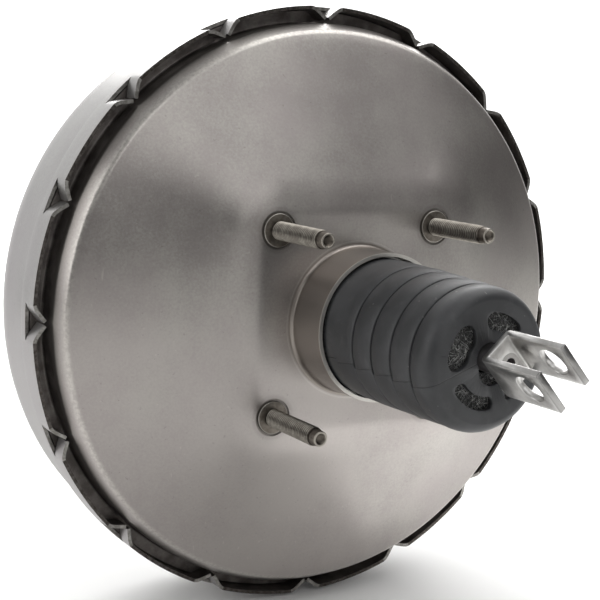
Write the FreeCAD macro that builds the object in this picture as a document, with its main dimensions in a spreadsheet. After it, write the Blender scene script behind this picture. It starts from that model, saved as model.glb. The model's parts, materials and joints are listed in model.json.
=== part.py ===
"""Vacuum brake booster with a single diaphragm, in millimetres.

The booster's axis is Y. The origin is the centre of the rear pad's outer face, which seats on the
firewall. The pedal side, with neck, boot and clevis, is towards -Y, the master cylinder is towards
+Y, and +Z is up. Each outline is drawn in the YZ plane as places along Y and radii, and turned
about the axis.
"""
import FreeCAD, Part
import math
import os
import re

import Sketcher

VECTOR = FreeCAD.Vector
doc = FreeCAD.newDocument("brake_booster")


# The driving sizes

sheet_of_sizes = doc.addObject("Spreadsheet::Sheet", "Sizes")

SIZES = [
    ("steel", 1.5, "thickness of both shells"),
    ("fit_gap", 0.15, "clearance round a ring that is pressed in"),
    ("running_gap", 0.06, "radial clearance of a part that turns or slides"),
    ("rest_gap", 0.1, "clearance between faces that meet at rest"),
    ("pad_half", 47, "half width of the rear pad's flat"),
    ("pad_corner", 11, "corner radius of the flat"),
    ("brow_half", 58, "half width where the pad's soft edge ends"),
    ("brow_corner", 21, "corner radius there"),
    ("brow_depth", 1.7, "depth of the soft edge"),
    ("slope_depth", 22, "depth of the four slopes at the rim"),
    ("ridge_fan", 17, "degrees each side of a diagonal that its ridge spreads over at the rim"),
    ("side_inset", 7.5, "from the skirt's outside in to the rear shell's side wall"),
    ("rim_round", 10, "rounding between the slopes and the side wall"),
    ("rim_slope", 0.33, "fall of the slopes where they meet the rim"),
    ("flange_inset", 2, "from the skirt's outside in to the edge of the rear shell's flange"),
    ("flange_place", 42, "rear face of the flange"),
    ("bead", 2.5, "thickness of the diaphragm's clamped bead"),
    ("neck_radius", 32, "neck, outside"),
    ("neck_reach", 22, "length of the neck behind the pad"),
    ("neck_root", 2.5, "fillet at the foot of the neck"),
    ("stud_half", 40, "half of the studs' square"),
    ("stud_radius", 4, "thread of the studs"),
    ("stud_reach", 39, "how far a stud stands out"),
    ("stud_point", 3.4, "radius of a stud's dog point"),
    ("stud_point_reach", 2.8, "length of the dog point"),
    ("stud_shank", 4.4, "plain shank inside the plates"),
    ("stud_collar", 7.15, "swaged collar outside"),
    ("stud_collar_height", 1, "height of the collar"),
    ("stud_head", 8.5, "head inside"),
    ("stud_head_height", 3, "thickness of the head"),
    ("stud_seat", 8.15, "recess round the collar"),
    ("stud_seat_depth", 0.6, "depth of the recess"),
    ("plate", 2.5, "thickness of the reinforcement plates"),
    ("rear_plate_half", 46, "half width of the rear plate"),
    ("rear_plate_bore", 36, "hole of the rear plate"),
    ("drum_step", 4, "from the skirt's outside in to the wall of the front shell"),
    ("skirt_radius", 135, "crimp skirt of the front shell"),
    ("skirt_edge", 33, "free edge of the skirt"),
    ("drum_round", 22, "rounding between wall and front face"),
    ("face_place", 100, "front face"),
    ("boss_height", 8, "height of the master cylinder's raised seat"),
    ("boss_radius", 58, "edge of the raised seat"),
    ("boss_slope", 10, "from the raised seat's edge out to its foot"),
    ("boss_round", 6, "rounding of the raised seat's edges"),
    ("lance_width", 15.5, "width of a lance"),
    ("lance_slit", 0.6, "slit at the foot of a lance"),
    ("lance_split", 0.8, "gap between a lance's two tongues"),
    ("lance_clear", 0.7, "from a tongue's tip to the rear shell's side wall"),
    ("lance_count", 16, "lances round the skirt"),
    ("pilot_radius", 20, "bore for the master cylinder's nose"),
    ("pilot_depth", 7, "length of the bore's drawn collar"),
    ("front_stud_half", 40, "half of the front studs' pitch"),
    ("front_stud_reach", 25, "how far a front stud stands out"),
    ("front_plate_inset", 6, "from the raised seat's edge in to the edge of the front plate"),
    ("valve_clear", 2, "from the raised seat's foot to the grommet"),
    ("grommet_bore", 7.1, "bore of the grommet"),
    ("grommet_waist", 10.4, "grommet where it sits in the shell"),
    ("grommet_flange", 14, "outer flange of the grommet"),
    ("valve_head", 11, "radius of the check valve's head"),
    ("valve_room", 8.5, "radius of the chamber in the head"),
    ("valve_head_length", 17.6, "length of the head without its cap"),
    ("valve_cap", 2.5, "thickness of the cap"),
    ("valve_port", 4, "inlet of the check valve"),
    ("nipple_radius", 5.5, "hose nipple"),
    ("nipple_bore", 3.8, "bore of the nipple"),
    ("nipple_reach", 38, "length of the nipple from the valve's axis"),
    ("barb_radius", 6.3, "crest of the nipple's barbs"),
    ("barb_crest", 2, "width of a barb's crest"),
    ("tail_radius", 22, "tail of the valve body"),
    ("tail_bore", 17.9, "bore of the tail"),
    ("tail_end", 62, "end of the tail behind the pad"),
    ("hub_rear", 6, "rear face of the hub's flange"),
    ("hub_flange", 33, "radius of the hub's flange"),
    ("hub_flange_width", 3.5, "thickness of the hub's flange"),
    ("hub_groove", 29, "groove for the diaphragm's inner bead"),
    ("hub_seat", 14, "seat of the diaphragm plate"),
    ("hub_boss", 26, "boss inside the return spring"),
    ("hub_front", 28, "front end of the hub"),
    ("reaction_bore", 14, "bore for the reaction disc"),
    ("reaction_floor", 18, "floor of that bore"),
    ("reaction_disc_height", 5, "thickness of the reaction disc"),
    ("nose_bore", 6, "bore for the plunger's nose"),
    ("plunger_bore", 9.5, "bore for the plunger"),
    ("plunger_step", 8, "step between the two bores"),
    ("valve_seat", 13.9, "vacuum seat of the valve body, behind the pad"),
    ("valve_seat_radius", 13.2, "outer radius of that seat"),
    ("valve_seat_bore", 11.2, "inner radius of that seat"),
    ("valve_seat_height", 0.9, "height of that seat"),
    ("key_rear", 1.1, "rear face of the stop key"),
    ("key", 2, "thickness of the stop key"),
    ("key_half", 8.5, "half width of the stop key"),
    ("key_reach", 27.5, "outer end of the stop key"),
    ("key_play", 0.2, "clearance of the key in its slot"),
    ("plunger_travel", 1.6, "free travel of the plunger"),
    ("plunger_core", 5, "plunger in its key groove"),
    ("plunger_front", 6, "shoulder of the plunger"),
    ("plunger_nose", 16.2, "front end of the plunger"),
    ("plunger_flange", 10.7, "air seat of the plunger"),
    ("plunger_flange_width", 2.1, "thickness of that flange"),
    ("plunger_end", 14.6, "rear end of the plunger, behind the pad"),
    ("ball_place", 11, "centre of the push rod's ball, behind the pad"),
    ("ball_radius", 5.5, "ball of the push rod"),
    ("rod_neck", 3, "push rod behind its ball"),
    ("rod_radius", 4.5, "push rod"),
    ("rod_neck_end", 18, "end of the thin neck"),
    ("rod_ring_place", 52, "front face of the rod's spring seat"),
    ("rod_ring", 9, "radius of the spring seat"),
    ("rod_collar", 5.6, "collar outside the boot"),
    ("rod_collar_start", 90, "start of that collar"),
    ("rod_stem", 4, "stem through the clevis"),
    ("rod_drill", 2.2, "centre hole in the stem's end"),
    ("droop", 0.75, "degrees that the boot hangs down at rest"),
    ("rod_tilt", -0.5, "degrees that the push rod hangs down at rest, so it points up a little"),
    ("clevis_base", 102.5, "rear face of the push rod's collar, where the clevis starts"),
    ("clevis_end", 134.5, "ends of the clevis's ears"),
    ("clevis_plate", 2.65, "plate of the clevis"),
    ("clevis_gap", 11.8, "gap between the ears"),
    ("clevis_width", 19.9, "width of the ears"),
    ("clevis_turn", 42.6, "degrees that the clevis is turned from the studs' square"),
    ("clevis_pin", 6.1, "radius of the pin's hole"),
    ("clevis_pin_place", 124, "centre of the pin's hole"),
    ("boot_lip", 30.3, "boot inside the neck"),
    ("boot_start", 16.3, "front end of the boot, behind the pad"),
    ("boot_first", 29.6, "radius of the first fold"),
    ("boot_last", 28.5, "radius of the last fold"),
    ("boot_wall", 2.3, "wall of the boot"),
    ("boot_ring", 42.5, "place of the first crease"),
    ("boot_pitch", 12.7, "distance between creases"),
    ("boot_crease", 1.3, "depth of a crease"),
    ("boot_face", 93, "end face of the boot"),
    ("boot_round", 7, "rounding of the end face"),
    ("boot_hole", 5.9, "hole for the push rod"),
    ("rod_lift", 1.8, "height of the push rod over the middle of the boot's face"),
    ("boot_gape", 6.8, "gape of the hole below the push rod"),
    ("slot_inner", 11, "inner radius of the boot's air slots"),
    ("slot_outer", 19.3, "outer radius of the air slots"),
    ("slot_half", 17, "half angle between the centres of a slot's ends"),
    ("slot_turn", 64, "angle of the first slot"),
    ("foam", 10.5, "thickness of the silencer"),
    ("bearing_width", 4.8, "width of the neck's bearing"),
    ("bearing_front", 0.8, "front face of the bearing"),
    ("seal_width", 8.5, "width of the neck's seal"),
    ("seal_gap", 0.3, "clearance of the soft seal on the tail"),
    ("retainer_width", 2.2, "width of the seal's retainer"),
    ("plate_flat", 38, "radius where the diaphragm plate leaves its hub"),
    ("plate_rise", 14, "rise of the diaphragm plate"),
    ("plate_rim_width", 8, "width of the diaphragm plate's flat rim"),
    ("plate_inset", 19, "from the wall of the front shell in to the rim of that plate"),
    ("plate_flange", 14, "length of the rim's flange"),
    ("rubber", 2, "thickness of the diaphragm"),
    ("fold_place", 53, "front of the diaphragm's rolling fold"),
    ("fold_clear", 3.2, "from the fold to the wall of the front shell"),
    ("spring_radius", 28.5, "mean radius of the return spring"),
    ("spring_wire", 3.5, "wire of the return spring"),
    ("spring_turns", 5.5, "turns of the return spring"),
    ("rod_spring_radius", 8.2, "mean radius of the rod's spring"),
    ("rod_spring_wire", 1.3, "wire of the rod's spring"),
    ("poppet_spring_radius", 11.2, "mean radius of the poppet's spring"),
    ("poppet_spring_wire", 1.2, "wire of the poppet's spring"),
    ("poppet_thick", 2.6, "thickness of the poppet's seat"),
    ("poppet_bore", 7.5, "hole in the poppet"),
    ("poppet_seat_radius", 16.2, "edge of the poppet's seat"),
    ("poppet_end", 33.4, "rear end of the poppet, behind the pad"),
    ("filter_front", 55.3, "front face of the air filter"),
    ("filter_bore", 7.2, "hole in the air filter"),
    ("push_radius", 6.5, "shank of the output rod"),
    ("push_end", 84, "end of the output rod's shank"),
    ("push_head", 4.5, "thickness of the output rod's head"),
    ("tip_thread", 3, "thread of the output rod's tip"),
    ("tip_hex", 5.4, "corner radius of the tip's hexagon"),
    ("tip_nose", 4, "radius of the tip's nose"),
    ("tip_reach", 100, "end of the output rod at rest"),
]

FOLLOWING_SIZES = [
    ("side_radius", "skirt_radius - side_inset", "side wall of the rear shell"),
    ("flange_radius", "skirt_radius - flange_inset", "edge of the rear shell's flange"),
    ("drum_radius", "skirt_radius - drum_step", "wall of the front shell"),
    ("boss_place", "face_place + boss_height", "raised seat of the master cylinder"),
    ("boss_foot", "boss_radius + boss_slope", "foot of the raised seat"),
    ("front_plate_radius", "boss_radius - front_plate_inset", "edge of the front plate"),
    ("valve_height", "boss_foot + grommet_flange + valve_clear", "height of the check valve above the axis"),
    ("plate_rim", "drum_radius - plate_inset", "rim of the diaphragm plate"),
    ("plate_brow", "plate_rim - plate_rim_width", "radius where the diaphragm plate's rise ends"),
]

sheet_of_sizes.set("A1", "size")
sheet_of_sizes.set("B1", "value")
sheet_of_sizes.set("C1", "what it is")
for row, (alias, number, meaning) in enumerate(SIZES + FOLLOWING_SIZES, start=2):
    sheet_of_sizes.set(f"A{row}", alias)
    sheet_of_sizes.set(f"B{row}", f"={number}")
    sheet_of_sizes.set(f"C{row}", meaning)
    sheet_of_sizes.setAlias(f"B{row}", alias)
doc.recompute()


# Helpers

NAMES = {alias for alias, number, meaning in SIZES + FOLLOWING_SIZES}


def bound(expression):
    """The same expression with each size read from the sheet."""
    return re.sub(r"[a-z_]+", lambda word: "Sizes." + word[0] if word[0] in NAMES else word[0], expression)


def value(expression):
    result = sheet_of_sizes.evalExpression(bound(expression))
    return float(getattr(result, "Value", result))


def origin_of(body, role):
    return next(feature for feature in body.Origin.OriginFeatures if feature.Role == role)


def new_body(label):
    body = doc.addObject("PartDesign::Body", label)
    body.Label = label
    return body


def new_sketch(body, name, role="YZ_Plane", offset="0"):
    """A sketch on one of the body's own planes, moved along its normal."""
    sketch = body.newObject("Sketcher::SketchObject", name)
    sketch.AttachmentSupport = (origin_of(body, role), [""])
    sketch.MapMode = "FlatFace"
    if offset != "0":
        sketch.setExpression("AttachmentOffset.Base.z", bound(offset))
        doc.recompute()
    return sketch


def hold(sketch, kind, items, expression):
    """A dimension that follows the sheet."""
    index = sketch.addConstraint(Sketcher.Constraint(kind, *items, value(expression)))
    sketch.setExpression(f"Constraints[{index}]", bound(expression))


def add_outline(sketch, corners):
    """A closed outline. A corner is its two places and, where it is rounded, its radius."""
    points = [VECTOR(value(corner[0]), value(corner[1]), 0) for corner in corners]
    first = sketch.GeometryCount
    total = len(points)
    for index, point in enumerate(points):
        sketch.addGeometry(Part.LineSegment(point, points[(index + 1) % total]), False)
    for index in range(total):
        following = first + (index + 1) % total
        sketch.addConstraint(Sketcher.Constraint("Coincident", first + index, 2, following, 1))
    for index, corner in enumerate(corners):
        hold(sketch, "DistanceX", (-1, 1, first + index, 1), corner[0])
        hold(sketch, "DistanceY", (-1, 1, first + index, 1), corner[1])
    for index, corner in enumerate(corners):
        if len(corner) > 2:
            before = sketch.GeometryCount
            sketch.fillet(first + index, 1, value(corner[2]), True, True)
            added = range(before, sketch.GeometryCount)
            arc = next(i for i in added if isinstance(sketch.Geometry[i], Part.ArcOfCircle))
            hold(sketch, "Radius", (arc,), corner[2])


def add_circle(sketch, across, up, radius):
    """A circle whose centre and radius follow the sheet."""
    circle = Part.Circle(VECTOR(value(across), value(up), 0), VECTOR(0, 0, 1), value(radius))
    index = sketch.addGeometry(circle, False)
    hold(sketch, "Radius", (index,), radius)
    hold(sketch, "DistanceX", (-1, 1, index, 3), across)
    hold(sketch, "DistanceY", (-1, 1, index, 3), up)


def turn(body, name, corners, kind="Revolution", centre="0", role="YZ_Plane", offset="0"):
    """An outline turned about the line at height centre: added, or taken away as a Groove."""
    sketch = new_sketch(body, name + "_outline", role, offset)
    add_outline(sketch, [(corner[0], f"({centre}) + ({corner[1]})", *corner[2:]) for corner in corners])
    level = value(centre)
    line = sketch.addGeometry(Part.LineSegment(VECTOR(0, level, 0), VECTOR(1, level, 0)), True)
    sketch.addConstraint(Sketcher.Constraint("Horizontal", line))
    hold(sketch, "DistanceY", (-1, 1, line, 1), centre)
    hold(sketch, "DistanceX", (-1, 1, line, 1), "0")
    hold(sketch, "DistanceX", (-1, 1, line, 2), "1")
    feature = body.newObject("PartDesign::" + kind, name)
    feature.Profile = sketch
    feature.ReferenceAxis = (sketch, ["Axis0"])
    feature.Angle = 360
    return feature


def extrude(body, name, sketch, length, kind="Pad", reverse=False):
    """A sketch pushed along its normal: added, or taken away as a Pocket."""
    feature = body.newObject("PartDesign::" + kind, name)
    feature.Profile = sketch
    feature.setExpression("Length", bound(length))
    feature.Reversed = reverse
    return feature


def repeat_round(body, name, features, count):
    """Copies of features round the booster's axis."""
    pattern = body.newObject("PartDesign::PolarPattern", name)
    pattern.Originals = features
    pattern.Axis = (origin_of(body, "Y_Axis"), [""])
    pattern.setExpression("Occurrences", bound(count))
    pattern.Angle = 360
    body.Tip = pattern
    return pattern


def turned(label, corners, centre="0"):
    """A piece that is one turned outline."""
    body = new_body(label)
    turn(body, "turning", corners, centre=centre)
    return body


def coil(label, radius, wire, turns, low, high, centre="0"):
    """A coil spring of six-sided wire whose end turns meet the planes low and high."""
    body = new_body(label)
    sketch = new_sketch(body, "wire_section")
    corners = []
    for side in range(6):
        along = round(math.sin(math.radians(60 * side)) / 2, 4)
        out = round(math.cos(math.radians(60 * side)) / 2, 4)
        corners.append((f"{low} + {wire} * {0.5 + along}", f"{centre} + {radius} + {wire} * {out}"))
    add_outline(sketch, corners)
    level = value(centre)
    line = sketch.addGeometry(Part.LineSegment(VECTOR(0, level, 0), VECTOR(1, level, 0)), True)
    sketch.addConstraint(Sketcher.Constraint("Horizontal", line))
    hold(sketch, "DistanceY", (-1, 1, line, 1), centre)
    helix = body.newObject("PartDesign::AdditiveHelix", "coil")
    helix.Profile = sketch
    helix.ReferenceAxis = (sketch, ["Axis0"])
    helix.Mode = "height-turns-angle"
    helix.setExpression("Height", bound(f"{high} - ({low}) - {wire}"))
    helix.setExpression("Turns", bound(turns))
    helix.Angle = 0
    return body


def hang(body, angle="rod_tilt"):
    """The push rod and what it carries turn about the ball, the boot by its own droop."""
    ball = VECTOR(0, -value("ball_place"), 0)
    tilt = FreeCAD.Rotation(VECTOR(1, 0, 0), value(angle))
    body.Placement = FreeCAD.Placement(VECTOR(0, 0, 0), tilt, ball)


# Places that several pieces share, as expressions on the sheet

FLANGE_FRONT = "flange_place + steel"
SEAM = "flange_place + steel + bead"
NECK_BORE = "neck_radius - steel"
RIM_START = "side_radius - 0.75 * rim_round"
REAR_PLATE_FRONT = "steel + plate"
BOSS_INSIDE = "boss_place - steel"
FRONT_PLATE_REAR = "boss_place - steel - plate"
BEARING_REAR = "bearing_front - bearing_width"
SEAL_REAR = "bearing_front - bearing_width - seal_width"
GROMMET_IN = "face_place - steel - 4"
GROMMET_OUT = "face_place + 4"


# The shells

def rounded_square(body, name, place, half, corner):
    sketch = new_sketch(body, name, "XZ_Plane", f"-({place})")
    ends = [(1, 1), (-1, 1), (-1, -1), (1, -1)]
    add_outline(sketch, [(f"{x} * {half}", f"{z} * {half}", corner) for x, z in ends])
    return sketch


def split_circle(body, name, place, radius):
    """A circle in eight arcs, four of them spread over the diagonals, to match the square's."""
    sketch = new_sketch(body, name, "XZ_Plane", f"-({place})")
    fan = value("ridge_fan")
    bounds = [45 + 90 * quarter + side * fan for quarter in range(4) for side in (-1, 1)]
    size = value(radius)
    whole = Part.Circle(VECTOR(0, 0, 0), VECTOR(0, 0, 1), size)
    for index, start in enumerate(bounds):
        stop = bounds[(index + 1) % 8] + (360 if index == 7 else 0)
        sketch.addGeometry(Part.ArcOfCircle(whole, math.radians(start), math.radians(stop)), False)
    for index in range(8):
        following = (index + 1) % 8
        sketch.addConstraint(Sketcher.Constraint("Coincident", index, 2, following, 1))
        quarter, side = index // 2, (-1, 1)[index % 2]
        angle = f"(45 + 90 * {quarter} + {side} * ridge_fan) * 1 deg"
        hold(sketch, "DistanceX", (-1, 1, index, 1), f"({radius}) * cos({angle})")
        hold(sketch, "DistanceY", (-1, 1, index, 1), f"({radius}) * sin({angle})")
        hold(sketch, "Radius", (index,), radius)
    return sketch


def slopes(body, name, kind, shift):
    """The pad's flat, its soft edge and the four slopes down to the round rim."""
    flat = rounded_square(body, name + "_flat", shift, "pad_half", "pad_corner")
    brow = rounded_square(body, name + "_brow", f"brow_depth + {shift}", "brow_half", "brow_corner")
    rim = split_circle(body, name + "_rim", f"slope_depth + {shift}", RIM_START)
    loft = body.newObject("PartDesign::" + kind, name)
    loft.Profile = flat
    loft.Sections = [brow, rim]
    loft.Ruled = True
    return loft


def make_rear_shell():
    body = new_body("rear_shell")
    slopes(body, "outer_slopes", "AdditiveLoft", "0")
    corner = f"slope_depth + 0.75 * rim_round * rim_slope"
    turn(body, "rim", [
        ("slope_depth", f"{RIM_START} - 10"),
        ("slope_depth", RIM_START),
        (corner, "side_radius", "rim_round"),
        ("flange_place", "side_radius", "1"),
        ("flange_place", "flange_radius"),
        (FLANGE_FRONT, "flange_radius"),
        (FLANGE_FRONT, "side_radius - steel", "1"),
        (f"{corner} + steel * (1 - rim_slope)", "side_radius - steel", "rim_round - steel"),
        ("slope_depth + steel", RIM_START),
        ("slope_depth + steel", f"{RIM_START} - 10"),
    ])
    turn(body, "neck", [
        ("steel", NECK_BORE),
        ("-neck_reach", NECK_BORE, "steel / 2.1"),
        ("-neck_reach", "neck_radius", "steel / 2.1"),
        ("0", "neck_radius", "neck_root"),
        ("0", "neck_radius + neck_root + 1"),
        ("steel", "neck_radius + neck_root + 1"),
    ])
    slopes(body, "inner_slopes", "SubtractiveLoft", "steel")
    bore = new_sketch(body, "neck_bore", "XZ_Plane", "-(steel + 1)")
    add_circle(bore, "0", "0", NECK_BORE)
    extrude(body, "neck_opening", bore, "neck_reach + steel + 2", "Pocket", reverse=True)
    seat = new_sketch(body, "stud_seat_circle", "XZ_Plane", "0")
    add_circle(seat, "stud_half", "stud_half", "stud_seat")
    recess = extrude(body, "stud_recess", seat, "stud_seat_depth", "Pocket")
    hole = new_sketch(body, "stud_hole_circle", "XZ_Plane", "0")
    add_circle(hole, "stud_half", "stud_half", "stud_shank + fit_gap")
    opening = extrude(body, "stud_hole", hole, "steel + 1", "Pocket")
    repeat_round(body, "stud_places", [recess, opening], "4")
    return body


def make_front_shell():
    """The drum, with the skirt whose lances hold the rear shell."""
    body = new_body("front_shell")
    turn(body, "drum", [
        ("skirt_edge", "skirt_radius"),
        (f"{SEAM} + steel", "skirt_radius", "1.8"),
        (f"{SEAM} + steel", "drum_radius", "1"),
        ("face_place", "drum_radius", "drum_round"),
        ("face_place", "boss_foot", "boss_round"),
        ("boss_place", "boss_radius", "boss_round"),
        ("boss_place", "pilot_radius", "steel"),
        ("boss_place - pilot_depth", "pilot_radius"),
        ("boss_place - pilot_depth", "pilot_radius + steel"),
        (BOSS_INSIDE, "pilot_radius + steel"),
        (BOSS_INSIDE, "boss_radius - 0.6 * steel", "boss_round - steel"),
        ("face_place - steel", "boss_foot - 0.6 * steel", "boss_round"),
        ("face_place - steel", "drum_radius - steel", "drum_round - steel"),
        (SEAM, "drum_radius - steel", "1"),
        (SEAM, "skirt_radius - steel", "0.5"),
        ("skirt_edge", "skirt_radius - steel"),
    ])
    window = new_sketch(body, "lance_window_outline", "XZ_Plane", "-(skirt_edge - 1)")
    inner = "side_radius"
    add_outline(window, [
        (inner, "-lance_width / 2"),
        ("skirt_radius + 1", "-lance_width / 2"),
        ("skirt_radius + 1", "lance_width / 2"),
        (inner, "lance_width / 2"),
    ])
    depth = "flange_place - skirt_edge - 0.2 + 1"
    opening = extrude(body, "lance_window", window, depth, "Pocket")
    repeat_round(body, "lance_windows", [opening], "lance_count")
    tongues = new_sketch(body, "tongue_outline", "XZ_Plane", "-skirt_edge")
    root = "lance_width / 2 + 0.5"
    root_out = f"sqrt(pow(skirt_radius; 2) - pow({root}; 2)) - 0.05"
    tip = "side_radius + lance_clear"
    for side in ("", "-"):
        add_outline(tongues, [
            (f"{root_out} - steel + 0.1", f"{side}({root})"),
            (root_out, f"{side}({root})"),
            (f"{tip} + steel * 1.2", f"{side}(lance_split / 2)"),
            (tip, f"{side}(lance_split / 2)"),
        ])
    length = "flange_place - skirt_edge - lance_slit"
    pair = extrude(body, "tongues", tongues, length, reverse=True)
    repeat_round(body, "lances", [pair], "lance_count")
    holes = new_sketch(body, "face_holes", "XZ_Plane", "-(boss_place + 1)")
    add_circle(holes, "front_stud_half", "0", "stud_shank + fit_gap")
    add_circle(holes, "-front_stud_half", "0", "stud_shank + fit_gap")
    add_circle(holes, "0", "valve_height", "grommet_waist + 0.1")
    extrude(body, "openings", holes, "boss_place - face_place + steel + 3", "Pocket", reverse=True)
    return body


# Studs and the plates that their heads bear on

def stud_outline(outside, inside, reach):
    """A stud that points towards -Y: outside is the shell's face, inside is its head's seat."""
    point = f"{outside} - {reach}"
    thread_end = f"{point} + stud_point_reach"
    return [
        (f"{inside} + stud_head_height", "0"),
        (f"{inside} + stud_head_height", "stud_head"),
        (inside, "stud_head"),
        (inside, "stud_shank"),
        (f"{outside} + stud_seat_depth", "stud_shank"),
        (f"{outside} + stud_seat_depth", "stud_collar"),
        (f"{outside} - stud_collar_height + stud_seat_depth", "stud_collar"),
        (f"{outside} - stud_collar_height + stud_seat_depth", "stud_radius"),
        (f"{thread_end} + stud_radius - stud_point", "stud_radius"),
        (thread_end, "stud_point"),
        (point, "stud_point"),
        (point, "stud_point - 0.9"),
        (f"{point} + 1.3", "0"),
    ]


def make_firewall_studs():
    body = new_body("firewall_studs")
    body.AllowCompound = True
    stud = turn(body, "stud", stud_outline("0", REAR_PLATE_FRONT, "stud_reach"),
                centre="stud_half", role="YZ_Plane", offset="stud_half")
    repeat_round(body, "four_studs", [stud], "4")
    return body


def make_rear_plate():
    body = new_body("rear_reinforcement_plate")
    square = rounded_square(body, "plate_outline", "steel", "rear_plate_half", "pad_corner")
    extrude(body, "plate", square, "plate", reverse=True)
    bore = new_sketch(body, "plate_bore", "XZ_Plane", "-steel")
    add_circle(bore, "0", "0", "rear_plate_bore")
    extrude(body, "bore", bore, "plate", "Pocket")
    hole = new_sketch(body, "stud_hole_circle", "XZ_Plane", "-steel")
    add_circle(hole, "stud_half", "stud_half", "stud_shank + fit_gap")
    opening = extrude(body, "stud_hole", hole, "plate", "Pocket")
    repeat_round(body, "stud_holes", [opening], "4")
    return body


def make_master_cylinder_studs():
    """Two studs through the raised seat, with their heads on the plate inside."""
    body = new_body("master_cylinder_studs")
    body.AllowCompound = True
    inside = FRONT_PLATE_REAR
    tip = "boss_place + front_stud_reach"
    stud = turn(body, "stud", [
        (f"{inside} - stud_head_height", "0"),
        (f"{inside} - stud_head_height", "stud_head - 1"),
        (inside, "stud_head - 1"),
        (inside, "stud_shank"),
        ("boss_place", "stud_shank"),
        ("boss_place", "stud_radius"),
        (f"{tip} - stud_point_reach - stud_radius + stud_point", "stud_radius"),
        (f"{tip} - stud_point_reach", "stud_point"),
        (tip, "stud_point"),
        (tip, "0"),
    ], offset="front_stud_half")
    repeat_round(body, "two_studs", [stud], "2")
    return body


def make_front_plate():
    body = new_body("front_reinforcement_plate")
    turn(body, "plate", [
        (FRONT_PLATE_REAR, "pilot_radius + steel + fit_gap"),
        (FRONT_PLATE_REAR, "front_plate_radius"),
        (BOSS_INSIDE, "front_plate_radius"),
        (BOSS_INSIDE, "pilot_radius + steel + fit_gap"),
    ])
    holes = new_sketch(body, "stud_hole_circles", "XZ_Plane", f"-({BOSS_INSIDE})")
    add_circle(holes, "front_stud_half", "0", "stud_shank + fit_gap")
    add_circle(holes, "-front_stud_half", "0", "stud_shank + fit_gap")
    extrude(body, "stud_holes", holes, "plate", "Pocket", reverse=True)
    return body


# Bearing, seal and retainer in the neck

def make_neck_rings():
    outer = f"{NECK_BORE} - fit_gap"
    sliding = "tail_radius + running_gap"
    bearing = turned("neck_bearing", [
        ("bearing_front", sliding),
        (BEARING_REAR, sliding),
        (BEARING_REAR, outer),
        ("bearing_front", outer),
    ])
    soft = "tail_radius + seal_gap"
    seal = turned("neck_seal", [
        (BEARING_REAR, f"{soft} + 3"),
        (f"{BEARING_REAR} - 2.5", soft),
        (f"{BEARING_REAR} - 4", soft),
        (f"{SEAL_REAR} + 2", f"{soft} + 2.5", "1"),
        (SEAL_REAR, soft),
        (SEAL_REAR, outer),
        (BEARING_REAR, outer),
    ])
    retainer = turned("seal_retainer", [
        (SEAL_REAR, "tail_radius + 1"),
        (f"{SEAL_REAR} - retainer_width", "tail_radius + 1"),
        (f"{SEAL_REAR} - retainer_width", outer),
        (SEAL_REAR, outer),
    ])
    return [bearing, seal, retainer]


# The power piston

def make_valve_body():
    body = new_body("valve_body")
    turn(body, "hub_and_tail", [
        ("-tail_end", "tail_bore"),
        ("-tail_end", "tail_radius"),
        ("hub_rear", "tail_radius", "2"),
        ("hub_rear", "hub_flange"),
        ("hub_rear + hub_flange_width", "hub_flange"),
        ("hub_rear + hub_flange_width", "hub_groove"),
        ("hub_seat", "hub_groove"),
        ("hub_seat", "hub_boss"),
        ("hub_front", "hub_boss"),
        ("hub_front", "reaction_bore"),
        ("reaction_floor", "reaction_bore"),
        ("reaction_floor", "nose_bore"),
        ("plunger_step", "nose_bore"),
        ("plunger_step", "plunger_bore"),
        ("-(valve_seat - valve_seat_height - 4)", "plunger_bore"),
        ("-(valve_seat - valve_seat_height - 4)", "valve_seat_bore"),
        ("-valve_seat", "valve_seat_bore"),
        ("-valve_seat", "valve_seat_radius"),
        ("-(valve_seat - valve_seat_height)", "valve_seat_radius"),
        ("-(valve_seat - valve_seat_height)", "tail_bore"),
    ])
    slot = new_sketch(body, "key_slot_outline", "XZ_Plane", "-(key_rear - key_play)")
    add_outline(slot, [
        ("-key_half - key_play", "-key_half - key_play"),
        ("tail_radius + 1", "-key_half - key_play"),
        ("tail_radius + 1", "key_half + key_play"),
        ("-key_half - key_play", "key_half + key_play"),
    ])
    extrude(body, "key_slot", slot, "key + 2 * key_play", "Pocket")
    return body


def make_stop_key():
    """A forked plate that straddles the plunger's groove and comes out of the tail's side."""
    body = new_body("stop_key")
    blade = new_sketch(body, "blade_outline", "XZ_Plane", "-key_rear")
    add_outline(blade, [
        ("-key_half", "-key_half"),
        ("key_reach", "-key_half", "2"),
        ("key_reach", "key_half", "2"),
        ("-key_half", "key_half"),
    ])
    extrude(body, "blade", blade, "key", reverse=True)
    fork = new_sketch(body, "fork_outline", "XZ_Plane", "-key_rear")
    add_circle(fork, "0", "0", "plunger_core + key_play")
    extrude(body, "fork_root", fork, "key", "Pocket")
    gap = new_sketch(body, "fork_gap_outline", "XZ_Plane", "-key_rear")
    add_outline(gap, [
        ("-key_half - 1", "-plunger_core - key_play"),
        ("0", "-plunger_core - key_play"),
        ("0", "plunger_core + key_play"),
        ("-key_half - 1", "plunger_core + key_play"),
    ])
    extrude(body, "fork_gap", gap, "key", "Pocket")
    return body


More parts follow.
